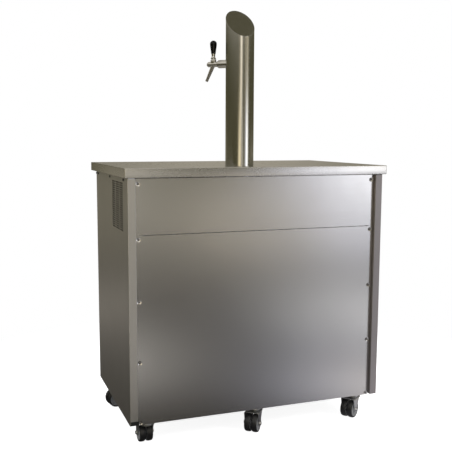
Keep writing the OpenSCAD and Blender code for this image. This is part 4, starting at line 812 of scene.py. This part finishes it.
# Collar: its end bulges as a quarter ellipse with one small bead, and the shank goes through the
# tower's wall to its nut
def addTapCollar():
    end, bulge, radius, face = (tap["collar" + k] for k in ("End", "Bulge", "Radius", "Face"))
    s = end - bulge * (1 - np.cos(np.linspace(0.12, np.pi / 2, 34)))
    bead = tap["beadHeight"] * np.exp(-((s - tap["beadAt"]) / tap["beadWidth"]) ** 2)
    curve = face + (radius - face) * np.sqrt(1 - ((s - end + bulge) / bulge) ** 2) + bead
    bore, shank = tap["shankBore"], tap["shank"]
    profile = [(bore, end), (face - 0.0004, end), *zip(curve, s), (radius, shank[0][1]), *shank,
               (bore, shank[-1][1]), (bore, end)]
    onAxis = {"origin": onTap(0), "axis": tap["ahead"]}
    nut = prism(hexagon(tap["nutRadius"]), easedLayers(tap["nutFrom"], tap["nutTo"], 0.0006), **onAxis)
    parts = [lathe(profile, 64, **onAxis), nut]
    piece = addPiece("tapCollar", parts, "satinMetal", "cabinet", 30)
    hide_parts("tap_shank")


# Tower: weld line ground smooth where the slanted plate meets the tube, an ellipse with a small round section
tower = {
    "centre": (-0.068, -0.256), "radius": 0.0555, "middle": 1.634, "slant": 45, "bead": 0.0007,
    "inside": 0.0002, "drop": 0.0011
}


def addTowerBead():
    x, y = circle(tower["radius"] - tower["inside"], 128).T
    z = tower["middle"] + y * math.tan(math.radians(tower["slant"])) - tower["drop"]
    path = np.stack([tower["centre"][0] + x, tower["centre"][1] + y, z], -1)
    weld = tube(path, circle(tower["bead"], 8), closed=True)
    addPiece("slantWeld", [weld], "towerSteel", "cabinet", 80)


# Door handles: a bar with domed ends on two turned posts with flared feet; their profile is (radius, length)
handle = {
    "x": 0.047, "face": 0.285, "stand": 0.032, "middle": 0.5449, "length": 0.2, "radius": 0.006,
    "spacing": 0.08,
    "post": [(0.0, -0.0006), (0.0088, 0.0001), (0.0088, 0.0016), (0.0056, 0.0034), (0.0046, 0.006),
        (0.0046, 0.026), (0.0058, 0.0306), (0.0, 0.0312)],
    "postCuts": [0, 0.0004, 0.0008, 0.002, 0.002, 0.003, 0.001, 0]
}
doorSides = ((-1, "left"), (1, "right"))


def addHandles():
    middle = handle["middle"]
    dome = quarter(handle["radius"], handle["length"] / 2, handle["radius"], 10)
    bar = np.concatenate([dome[::-1] * (1, -1), dome])[::-1]
    for side, name in doorSides:
        x, face = side * handle["x"], handle["face"]
        parts = [lathe(bar, 40, origin=(x, face + handle["stand"], middle))]
        for z in (middle - handle["spacing"], middle + handle["spacing"]):
            parts.append(spun(handle["post"], handle["postCuts"], 5, 36, origin=(x, face, z), axis=(0, 1, 0)))
        piece = addPiece("handleBar" + name.title(), parts, "satinMetal", "door_" + name, 35)
        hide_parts("door_%s_handle" % name)


# Magnetic seal: a bellows section carried round a rectangle with rounded corners. The section's waves
# are a sin^2(3 pi s) across the depth between the door and the sealing face
seal = {
    "inset": 0.006, "width": 0.012, "doorBack": 0.243, "front": 0.2334, "low": 0.105, "high": 0.8248,
    "corner": 0.007, "outside": 0.5145, "inside": 0.002, "wave": 0.0011
}


def addSeals():
    s = np.linspace(0, 1, 15)
    wave = seal["wave"] * np.sin(3 * np.pi * s) ** 2
    half = seal["width"] / 2 - 0.0013
    outer = np.stack([half + 0.001 - wave, s * (seal["doorBack"] - seal["front"])], -1)
    section = np.concatenate([outer, (outer * (-1, 1))[::-1]])
    for side, name in doorSides:
        x0, x1 = sorted((side * seal["outside"], side * seal["inside"]))
        x0, z0 = (low + seal["inset"] + seal["width"] / 2 for low in (x0, seal["low"]))
        x1, z1 = (high - seal["inset"] - seal["width"] / 2 for high in (x1, seal["high"]))
        path = rounded(rectangle(x0, z0, x1, z1), seal["corner"], 6, closed=True)
        d = np.roll(path, -1, 0) - np.roll(path, 1, 0)
        n = np.stack([d[:, 1], -d[:, 0]], -1) / np.linalg.norm(d, axis=1)[:, None]
        x, z = (path[:, None, k] + n[:, None, k] * section[:, 0] for k in (0, 1))
        points = np.stack([x, seal["front"] + section[:, 1] + 0 * x, z], -1)
        piece = addPiece("doorSeal" + name.title(), [surface(points, wrapU=True, wrapV=True)], "sealRubber",
                         "door_" + name, 50)
        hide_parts("door_%s_gasket" % name)


# Fan: blades are surfaces whose pitch falls from hub to tip, with a curved camber, thickened afterwards
fan = {
    "hub": 0.022, "tip": 0.0805, "blades": 5, "sweep": 0.35, "pitch": (0.0088, 0.0035), "camber": 0.0022,
    "chord": (0.30, 0.12, 0.25), "thickness": 0.0016,
    "hubProfile": [(0.0032, -0.0108), (0.020, -0.0108), (0.0218, -0.0085), (0.0218, 0.0085),
        (0.0195, 0.0108), (0.0032, 0.0108)]
}


def addFan():
    onAxis = {"origin": np.array(jointAt["fan_spin"]["pos_m"]), "axis": (1, 0, 0)}
    r = np.linspace(fan["hub"] - 0.002, fan["tip"], 16)[:, None]
    v = np.linspace(-1, 1, 15)[None]
    share = (r - fan["hub"]) / (fan["tip"] - fan["hub"])
    outward = np.clip(share, 0, 1)
    root, swell, taper = fan["chord"]
    wide = (root + swell * np.sin(np.pi * outward)) * (1 - taper * share ** 6)
    z = v * (fan["pitch"][0] - fan["pitch"][1] * share) + fan["camber"] * (1 - v ** 2)
    blades = []
    for k in range(fan["blades"]):
        angle = k * fullTurn / fan["blades"] + v * wide + fan["sweep"] * outward ** 1.5
        blades.append(surface(placed(turned(r, z, angle), **onAxis)))
    piece = addPiece("fanBlades", blades, "mattBlack", "fan", 60,
                     [("SOLIDIFY", {"thickness": fan["thickness"], "offset": 0.0})])
    hub = spun(fan["hubProfile"], 0.001, 5, 48, **onAxis)
    addPiece("fanHub", [hub], "mattBlack", "fan", 40)
    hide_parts("fan_blades")


# Condenser: thin fins whose free edges ripple, tubes through them and bends at both ends
condenser = {
    "fins": 66, "rows": 6, "tube": 0.004, "width": 0.2, "ripple": 0.0006, "waves": 900, "plate": 0.0015,
    "finThickness": 0.0003, "edgeGap": 0.002, "endGap": 0.004, "columnInset": 0.013, "overhang": 0.0005
}


def addCondenser():
    low, high = (np.array(c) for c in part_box("condenser"))
    high[1] = low[1] + condenser["width"]
    edge, end = condenser["edgeGap"], condenser["endGap"]
    zs = np.linspace(low[2] + end, high[2] - edge, 25)
    ripple = condenser["ripple"] * np.sin(zs * condenser["waves"])
    x = np.stack([low[0] + edge + ripple, high[0] - edge + ripple], -1)
    ys = np.linspace(low[1] + end, high[1] - end, condenser["fins"])
    fins = [surface(np.stack([x, y + 0 * x, zs[:, None] + 0 * x], -1)) for y in ys]
    # Fins and plates near-black: partly painted shade behind the vent slots
    piece = addPiece("condenserFins", fins, "finPaint", "cabinet", 60,
                     [("SOLIDIFY", {"thickness": condenser["finThickness"], "offset": 0.0})])
    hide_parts("condenser")
    thick = condenser["plate"]
    plates = [block((low[0], y, low[2]), (high[0], y + thick, high[2]), 0.003, 0.0004, up=1)
              for y in (low[1], high[1] - thick)]
    addPiece("condenserPlates", plates, "finPaint", "cabinet")
    inset, over = condenser["columnInset"], condenser["overhang"]
    left, right = low[0] + inset, high[0] - inset
    reach, pitch = (right - left) / 2, (high[2] - low[2]) / condenser["rows"]
    a, tubes = np.linspace(0, np.pi, 15), []
    for k in range(condenser["rows"]):
        z = low[2] + (k + 0.5) * pitch
        x, y = (left + right) / 2 - reach * np.cos(a), high[1] - over + reach * np.sin(a)
        bend = np.stack([x, y, z + 0 * a], -1)
        path = np.concatenate([[(left, low[1] + over, z)], bend, [(right, low[1] + over, z)]])
        tubes.append(tube(path, circle(condenser["tube"], 14)))
    addPiece("condenserTubes", tubes, "copperTube", "cabinet", 50)


# Refrigerant pipes: corners bent on a radius, soldered sleeves at their ends, and a drier on the lowest run
pipes = {
    "radius": 0.004, "bend": 0.014,
    "sleeve": [(0.004, 0.0), (0.0051, 0.0006), (0.0051, 0.0085), (0.004, 0.0095)],
    "runs": [
        [(-0.3155, -0.2291, 0.915), (-0.3155, -0.2936, 0.915), (-0.3155, -0.2936, 1.01067),
         (-0.4958, -0.2936, 1.01067), (-0.4958, -0.261, 1.01067)],
        [(-0.4958, -0.261, 0.84733), (-0.4958, -0.2936, 0.84733), (-0.4, -0.2936, 0.84733),
         (-0.4, -0.26, 0.84733), (-0.4, -0.26, 0.7163)],
        [(-0.425, -0.26, 0.7163), (-0.425, -0.26, 0.897), (-0.425, -0.2936, 0.897),
         (-0.2505, -0.2936, 0.897), (-0.2505, -0.2291, 0.897)]],
    "drierAt": (-0.4758, -0.2936, 0.84733),
    "drier": [(0.004, 0), (0.0095, 0.0075), (0.0102, 0.012), (0.0102, 0.038), (0.0095, 0.0425),
        (0.004, 0.05)]
}


# A bent path without the points that fall on the one before
def bentPath(corners, cut):
    path = rounded(corners, cut, 9)
    return path[np.concatenate([[True], np.linalg.norm(np.diff(path, axis=0), axis=1) > 1e-6])]


def addPipes():
    parts = []
    for run in pipes["runs"]:
        path = bentPath(run, pipes["bend"])
        parts.append(tube(path, circle(pipes["radius"], 14)))
        for end, inner in ((path[0], path[1]), (path[-1], path[-2])):
            d = (inner - end) / np.linalg.norm(inner - end)
            parts.append(spun(pipes["sleeve"], 0.0005, 3, 24, origin=end + 0.004 * d, axis=d))
    parts.append(spun(pipes["drier"], 0.003, 5, 32, origin=pipes["drierAt"], axis=(1, 0, 0)))
    piece = addPiece("copperPipes", parts, "copperTube", "cabinet", 50)
    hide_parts("refrigerant_pipes")


# Compressor: two deep-drawn shells (radius falls off as a superellipse), the weld flange with its bead, a
# clipped cover over the terminals, foot plate, stubs for the pipes and rubber grommets
compressor = {
    "centre": (-0.2955, -0.14), "floor": 0.845, "radius": 0.075, "height": 0.15, "seam": 0.088,
    "shellPower": 0.62, "flange": (0.0745, 0.084, 0.0785, 0.088), "weld": (0.0762, 0.0888),
    "weldRadius": 0.0014, "footPlate": ((-0.085, -0.062, -0.002), (0.085, 0.062, 0.001)),
    "cover": ((0.062, -0.024, 0.04), (0.097, 0.024, 0.084)), "stubs": ((-0.02, 0.07), (0.045, 0.052)),
    "reach": 0.0891, "stubRadius": 0.0052, "stubFrom": 0.05, "footAt": (0.072, 0.05),
    "foot": [(0.0032, -0.0138), (0.011, -0.0138), (0.0112, -0.009), (0.0095, -0.0075), (0.0112, -0.006),
        (0.011, -0.0023), (0.0058, -0.0023), (0.0058, 0.0013), (0.009, 0.0014), (0.0088, 0.004),
        (0.0032, 0.004)]
}


def addCompressor():
    c = compressor
    origin = x, y, z = (*c["centre"], c["floor"])
    a = np.linspace(0, np.pi / 2, 22)
    sine, cosine = np.sin(a) ** c["shellPower"], np.cos(a) ** c["shellPower"]
    upper = np.stack([c["radius"] * sine, c["seam"] + (c["height"] - c["seam"]) * cosine], -1)
    lower = np.stack([c["radius"] * cosine, c["seam"] - (c["seam"] - 0.001) * sine], -1)
    shell = np.concatenate([upper, lower[1:]])[::-1]
    bead = circle(c["weldRadius"], 10) + c["weld"]
    parts = [lathe(shell, 72, origin=origin), spun(rectangle(*c["flange"]), 0.0012, 5, 72, origin=origin),
             lathe(np.concatenate([bead, bead[:1]]), 72, origin=origin)]
    parts.append(block(*np.add(origin, c["footPlate"]), corner=0.014, ease=0.0006))
    parts.append(block(*np.add(origin, c["cover"]), corner=0.006, ease=0.0025))
    r, start, reach = c["stubRadius"], c["stubFrom"], c["reach"]
    stub = [(0, start), (r, start), (r, reach - 0.0035), (r - 0.0004, reach - 0.0025), (r - 0.0004, reach),
            (0, reach)]
    for dx, dz in c["stubs"]:
        parts.append(spun(stub, 0.0006, 4, 28, origin=(x + dx, y, z + dz), axis=(0, -1, 0)))
    piece = addPiece("compressorShell", parts, "blackEnamel", "cabinet", 40)
    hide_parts("compressor")
    footX, footY = c["footAt"]
    feet = [spun(c["foot"], 0.0007, 4, 32, origin=(x + dx, y + dy, z))
            for dx in (-footX, footX) for dy in (-footY, footY)]
    addPiece("compressorFeet", feet, "sealRubber", "cabinet", 40)


# Thermostat knob: a skirt and a grip whose radius falls with a rectified cosine, and a raised pointer
dial = {
    "face": 0.2853, "top": 0.0149, "grips": 9, "gripDepth": 0.0007, "gripPower": 0.7,
    "gripFrom": 0.0045, "gripTo": 0.0138, "fadeIn": 0.002, "fadeOut": 0.001,
    "corners": [(0.0031, 0.0), (0.0178, 0.0), (0.0180, 0.0008), (0.0180, 0.0032), (0.0158, 0.0042),
        (0.0142, 0.0142), (0.0128, 0.0149), (0.0, 0.0149)],
    "cuts": [0, 0.0004, 0.0003, 0.0006, 0.0006, 0.001, 0.0006, 0],
    "pointerLow": (-0.0009, 0.2995, 0.003), "pointerHigh": (0.0009, 0.3003, 0.0125)
}


def addThermostatKnob():
    x, y, z = jointAt["thermostat_turn"]["pos_m"]
    profile = rounded(dial["corners"], dial["cuts"], 6)[:-1]
    inwards = np.linspace(profile[-1][0], 0, 6)[1:]
    r, h = np.concatenate([profile, np.stack([inwards, 0 * inwards + dial["top"]], -1)]).T
    turn = roundTurn(144)
    onGrip = np.clip((h - dial["gripFrom"]) / dial["fadeIn"], 0, 1)
    onGrip = onGrip * np.clip((dial["gripTo"] - h) / dial["fadeOut"], 0, 1)
    flute = dial["gripDepth"] * np.abs(np.cos(dial["grips"] * turn)) ** dial["gripPower"] * onGrip
    points = placed(turned(r - flute, h, turn), origin=(x, dial["face"], z), axis=(0, 1, 0))
    skin = surface(points, wrapU=True)
    piece = addPiece("dialKnob", [skin], "mattBlack", "thermostat_knob", 40)
    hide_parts("thermostat_knob")
    low, high = ((x + dx, at, z + dz) for dx, at, dz in (dial["pointerLow"], dial["pointerHigh"]))
    addPiece("dialPointer", [block(low, high, 0.0004, 0.0002, up=1)], "whitePlastic", "thermostat_knob")


# Side bolts: low domed heads with a hexagonal socket, sunk where the angle-dependent radius is small
sideBolts = {
    "radius": 0.005, "dome": 0.0052, "rise": 0.0044, "socket": 0.0018, "socketFloor": 0.0014, "face": 0.5383,
    "height": 1.038, "along": (-0.278, -0.023, 0.234, 0.272)
}


def addSideBolts():
    b = sideBolts
    r = np.concatenate([[0.0], np.linspace(0.0004, 0.0019, 6), np.linspace(0.0022, b["radius"], 9),
                        [b["radius"], 0.0035]])
    rise = b["rise"] * np.sqrt(np.clip(1 - (r / b["dome"]) ** 2, 0, 1)) - 0.0003
    rise[-2:] = (0.0002, 0.0)
    a = roundTurn(36)
    inHex = r * np.cos((a + np.pi / 6) % (np.pi / 3) - np.pi / 6) < b["socket"]
    head = turned(r, np.where(inHex, b["socketFloor"], rise), a)
    parts = [surface(placed(head, origin=(s * b["face"], y, b["height"]), axis=(s, 0, 0)), wrapU=True)
             for s in (-1, 1) for y in b["along"]]
    piece = addPiece("sideBoltHeads", parts, "mattBlack", "cabinet", 30)
    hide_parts("side_bolts")


# Evaporator: a plate with rounded corners on the liner's back wall and one tube bent to and fro over it
evaporator = {
    "rows": (0.2793, 0.34568, 0.41206, 0.47844, 0.54482, 0.6112),
    "ends": (-0.4, 0.4144), "suction": -0.425, "top": 0.7162, "depth": -0.26, "low": (-0.445, -0.265, 0.2493),
    "high": (0.4344, -0.2635, 0.6412), "turn": 0.0332, "firstTurn": 0.012, "tube": 0.004
}


def addEvaporator():
    e, (left, right) = evaporator, evaporator["ends"]
    xz = [(e["suction"], e["top"]), (e["suction"], e["rows"][0]), (right, e["rows"][0])]
    for k, z in enumerate(e["rows"][1:]):
        xz += [(right, z), (left, z)] if k % 2 == 0 else [(left, z), (right, z)]
    xz.append((left, e["top"]))
    path = np.array([(x, e["depth"], z) for x, z in xz])
    cuts = [0, e["firstTurn"]] + [e["turn"]] * (len(path) - 4) + [e["firstTurn"], 0]
    piece = addPiece("coldPlate", [block(e["low"], e["high"], 0.012, 0.0004, up=1)], "finMetal", "cabinet")
    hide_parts("evaporator")
    serpentine = tube(bentPath(path, cuts), circle(e["tube"], 14))
    addPiece("coldTube", [serpentine], "finMetal", "cabinet", 50)


# Door lining: a shallow pan pressed into the white inner sheet, raised 2 mm with soft edges
pan = {
    "outside": 0.487, "inside": 0.03, "low": 0.133, "high": 0.797, "corner": 0.03, "slope": 0.005,
    "flat": 0.001, "rise": 0.0022, "sheet": 0.2431
}


def addDoorPans():
    a = np.linspace(0, np.pi / 2, 6)
    slope = np.stack([pan["slope"] * (1 - np.cos(a)) + pan["flat"], pan["rise"] * np.sin(a)], -1)
    for side, name in doorSides:
        x0, x1 = sorted((side * pan["outside"], side * pan["inside"]))
        outline = rounded(rectangle(x0, pan["low"], x1, pan["high"]), pan["corner"], 9, closed=True)
        points, faces = prism(outline, np.concatenate([[(0.0, 0.0)], slope]))
        points = np.stack([points[:, 0], pan["sheet"] - points[:, 2], points[:, 1]], -1)
        addPiece("liningPan" + name.title(), [(points, faces)], "doorLining", "door_" + name,
                 50)


addWorktop()
addPanelScrews()
addSideBolts()
print("cabinet dressed")
addKnob()
addLever()
addTapShell()
addTapCollar()
addTowerBead()
print("tower and tap dressed")
for number in castorNumbers:
    addCastorFork(number)
    addCastorWheels(number)
print("castors dressed")
addHandles()
addSeals()
addDoorPans()
print("doors dressed")
addFan()
addCondenser()
addCompressor()
addEvaporator()
addPipes()
addThermostatKnob()
print("machine bay dressed")


# Camera at the photograph's place: lens from 721 px of focal length on a 452 px frame
view = {
    "place": (-1.10811, -2.92339, 1.19658), "heading": 20.265, "pitch": 7.0245, "roll": 0.204, "lens": 57.419,
    "sensor": 36
}


def addCamera():
    heading, pitch, roll = (math.radians(view[k]) for k in ("heading", "pitch", "roll"))
    level = math.cos(pitch)
    ahead = np.array([math.sin(heading) * level, math.cos(heading) * level, -math.sin(pitch)])
    right = np.array([math.cos(heading), -math.sin(heading), 0])
    up = np.cross(right, ahead)
    right, up = math.cos(roll) * right + math.sin(roll) * up, math.cos(roll) * up - math.sin(roll) * right
    camera = newObject("camera", bpy.data.cameras.new("camera"))
    camera.data.lens, camera.data.sensor_width = view["lens"], view["sensor"]
    matrix = np.eye(4)
    matrix[:3] = np.stack([right, up, -ahead, view["place"]], -1)
    camera.matrix_world = matrix.T.tolist()
    bpy.context.scene.camera = camera


# The floor is matt near the object and shines evenly white further off; lamps are (name, place, side, power)
studio = {
    "floorSize": 14.0, "floorTone": 0.86, "floorGlow": 0.88, "floorFade": (0.9, 1.7), "world": 0.6,
    "lamps": [("keyLamp", (2.4, -2.6, 2.9), 1.6, 60), ("fillLamp", (-2.8, -1.6, 2.2), 1.8, 24),
        ("topLamp", (0.2, 0.6, 3.6), 2.4, 34)],
    "aimHeight": 0.8, "roomRadius": 5.0, "roomHeight": 4.2, "roomSteps": (180, 25), "floorSteps": 81,
    "floorLift": 0.0015, "wallDim": 0.1, "floorDim": 0.04, "ceilingDim": 0.1, "ceilingLight": 0.6,
    "wallEase": 0.3
}

# Soft lights on the mirrored walls: azimuth from +X and reach in degrees, low and high edge, strength, tint
wallLights = [
    (10, 60, -1, 1.0, 0.4, "warm"), (68, 32, 1.35, 9, 0.36, "warm"), (115, 15, -1, 1.35, 0.23, "warm"),
    (150, 60, -1, 0.9, 0.15, "warm"), (250, 15, -1, 1.35, 2.2, "gold"), (270, 10, -1, 1.35, 0.82, "plain"),
    (260, 11, 1.35, 9, 1.9, "warm"), (290, 18, -1, 0.65, 0.9, "warm"), (300, 10, 0.65, 1.4, 2.05, "cool"),
    (310, 12, 0.65, 1.4, 4.2, "white"), (296, 14, 1.4, 9, 0.35, "gold"), (312, 10, 1.4, 9, 0.65, "gold"),
    (304, 9, -0.1, 0.5, 1.9, "cool"), (234, 200, 2.55, 9, 1.0, "plain")
]
# and on the mirrored floor: azimuth, distance, spread, strength, tint
floorLights = [
    (55, 2.6, 1.5, 0.65, "plain"), (165, 2.5, 0.9, 0.32, "plain"), (237, 2.6, 0.8, 0.9, "plain"),
    (345, 2.7, 0.9, 0.8, "plain"), (125, 2.6, 0.72, 0.45, "warm"), (250, 1.6, 0.54, 0.72, "plain"),
    (310, 0.9, 0.41, 0.45, "cool"), (310, 1.6, 0.54, 0.3, "cool"), (310, 2.6, 0.72, 1.4, "white"),
    (328, 1.1, 0.41, 0.7, "warm")
]
# The ceiling glows evenly but for a dim round patch, which the slanted tower top mirrors: x, y, spread
ceilingPatch = (0.93, 0.17, 1.35)
tints = {
    "plain": (1.0, 0.97, 0.94), "white": (0.97, 0.98, 1.03), "warm": (1.0, 0.91, 0.8),
    "gold": (1.0, 0.86, 0.6), "olive": (1.0, 0.92, 0.48), "cool": (0.83, 0.87, 1.08)
}


# Colour of a glow: its share at every point, times strength and tint
def tinted(share, strength, tint):
    return np.asarray(share)[..., None] * strength * np.array(tints[tint])


# Smooth step from 0 at the low edge to 1 at the high one
def eased(value, low, high):
    t = np.clip((value - low) / (high - low), 0, 1)
    return t * t * (3 - 2 * t)


# Glow of one wall light: cosine squared across its reach, eased on both sides of its low and high edges
def wallGlow(azimuth, height, light):
    middle, reach, low, high, strength, tint = light
    off, ease = np.abs((azimuth - middle + 180) % 360 - 180), studio["wallEase"]
    across = np.where(off < reach, np.cos(np.pi / 2 * off / reach) ** 2, 0)
    share = across * eased(height, low - ease, low + ease) * (1 - eased(height, high - ease, high + ease))
    return tinted(share, strength, tint)


# A round patch that fades as a Gaussian
def roundPatch(x, y, middleX, middleY, spread):
    return np.exp(-((x - middleX) ** 2 + (y - middleY) ** 2) / spread ** 2)


def floorGlow(x, y, light):
    azimuth, distance, spread, strength, tint = light
    a = math.radians(azimuth)
    return tinted(roundPatch(x, y, distance * math.cos(a), distance * math.sin(a), spread), strength, tint)


# A card that only mirrors see: a grid whose glow is stored on its points
def addCard(name, points, glow, wrapU=False):
    material = bpy.data.materials.new(name)
    tree = emptyTree(material)
    read = tree.nodes.new("ShaderNodeAttribute")
    read.attribute_name = "glow"
    shine = tree.nodes.new("ShaderNodeEmission")
    tree.links.new(read.outputs["Color"], shine.inputs["Color"])
    tree.links.new(shine.outputs[0], tree.nodes.new("ShaderNodeOutputMaterial").inputs["Surface"])
    verts, faces = surface(points, wrapU=wrapU)
    mesh = newMesh(name, verts, faces, material)
    colour = np.concatenate([glow.reshape(-1, 3), np.ones((len(verts), 1))], 1)
    mesh.attributes.new("glow", "FLOAT_COLOR", "POINT").data.foreach_set("color", colour.ravel())
    card = newObject(name, mesh)
    card.visible_camera = card.visible_diffuse = card.visible_shadow = False
    card.visible_transmission = card.visible_volume_scatter = False


# Room round the object, for reflections alone: a drum with soft lights on a dim wall, a floor and a ceiling
def addReflectedRoom():
    r, h, (around, upwards) = studio["roomRadius"], studio["roomHeight"], studio["roomSteps"]
    turn = np.linspace(0, 360, around, endpoint=False)
    azimuth, height = np.meshgrid(turn, np.linspace(0, h, upwards), indexing="ij")
    a = np.radians(azimuth)
    glow = tinted(1, studio["wallDim"], "olive")
    glow = glow + sum(wallGlow(azimuth, height, light) for light in wallLights)
    addCard("mirroredWalls", np.stack([r * np.cos(a), r * np.sin(a), height], -1), glow, wrapU=True)
    line = np.linspace(-r, r, studio["floorSteps"])
    x, y = np.meshgrid(line, line, indexing="ij")
    glow = tinted(1, studio["floorDim"], "warm") + sum(floorGlow(x, y, light) for light in floorLights)
    addCard("mirroredFloor", np.stack([x, y, 0 * x + studio["floorLift"]], -1), glow)
    lit = 1 - roundPatch(x, y, *ceilingPatch)
    glow = tinted(lit, studio["ceilingLight"], "plain") + tinted(1, studio["ceilingDim"], "olive")
    addCard("mirroredCeiling", np.stack([x, y, 0 * x + h], -1), glow)


# Floor: paper-white, matt near the object. Its glow is for the camera alone, full beyond the fade
def addFloor():
    material, tree, shader = newMaterial("paleFloor")
    tone, glowNear, where = studio["floorTone"], studio["floorGlow"], objectPlace(tree)
    paper = noiseNode(tree, where, 3.0, 4.0, 0.6)
    tree.links.new(mixColour(tree, paper, (tone,) * 3, (tone * 1.02,) * 3), shader.inputs["Base Color"])
    shader.inputs["Roughness"].default_value = 0.9
    shader.inputs["Specular IOR Level"].default_value = 0.0
    far = rampNode(tree, vectorNode(tree, "LENGTH", where), *studio["floorFade"])
    seen = tree.nodes.new("ShaderNodeLightPath").outputs["Is Camera Ray"]
    shine = tree.nodes.new("ShaderNodeEmission")
    white = plus(tree, times(tree, far, 1 - glowNear), glowNear)
    tree.links.new(times(tree, white, seen), shine.inputs["Strength"])
    mix, both = tree.nodes.new("ShaderNodeMixShader"), tree.nodes.new("ShaderNodeAddShader")
    tree.links.new(far, mix.inputs[0])
    tree.links.new(shader.outputs[0], mix.inputs[1])
    tree.links.new(mix.outputs[0], both.inputs[0])
    tree.links.new(shine.outputs[0], both.inputs[1])
    tree.links.new(both.outputs[0], tree.nodes["Material Output"].inputs["Surface"])
    half = studio["floorSize"] / 2
    corners = [(x, y, 0) for x, y in rectangle(-half, -half, half, half)]
    newObject("floor", newMesh("floor", corners, [(0, 1, 2, 3)], material))


# World: white for the camera, mirrors and glass, softer for all other light
def addWorld():
    world = bpy.context.scene.world = bpy.data.worlds.new("studio")
    tree = emptyTree(world)
    path = tree.nodes.new("ShaderNodeLightPath").outputs
    seen = plus(tree, path["Is Camera Ray"], path["Is Glossy Ray"], clamp=True)
    seen = plus(tree, seen, path["Is Transmission Ray"], clamp=True)
    both = tree.nodes.new("ShaderNodeMixShader")
    tree.links.new(seen, both.inputs[0])
    for index, strength in ((1, studio["world"]), (2, 1.0)):
        light = tree.nodes.new("ShaderNodeBackground")
        light.inputs["Color"].default_value = (1, 1, 1, 1)
        light.inputs["Strength"].default_value = strength
        tree.links.new(light.outputs[0], both.inputs[index])
    tree.links.new(both.outputs[0], tree.nodes.new("ShaderNodeOutputWorld").inputs["Surface"])


def addLamps():
    for name, place, side, power in studio["lamps"]:
        lamp = bpy.data.lights.new(name, "AREA")
        lamp.shape, lamp.size, lamp.size_y, lamp.energy = "RECTANGLE", side, side, power
        thing = newObject(name, lamp)
        thing.location = place
        x, y, z = np.array([0, 0, studio["aimHeight"]]) - np.array(place)
        pitch, heading = math.atan2(z, math.hypot(x, y)), math.atan2(y, x)
        thing.rotation_euler = (math.pi / 2 + pitch, 0, heading - math.pi / 2)
        thing.visible_glossy = False


bpy.context.scene.view_settings.view_transform = "Standard"
addCamera()
addFloor()
addWorld()
addLamps()
addReflectedRoom()
print("camera and studio set")
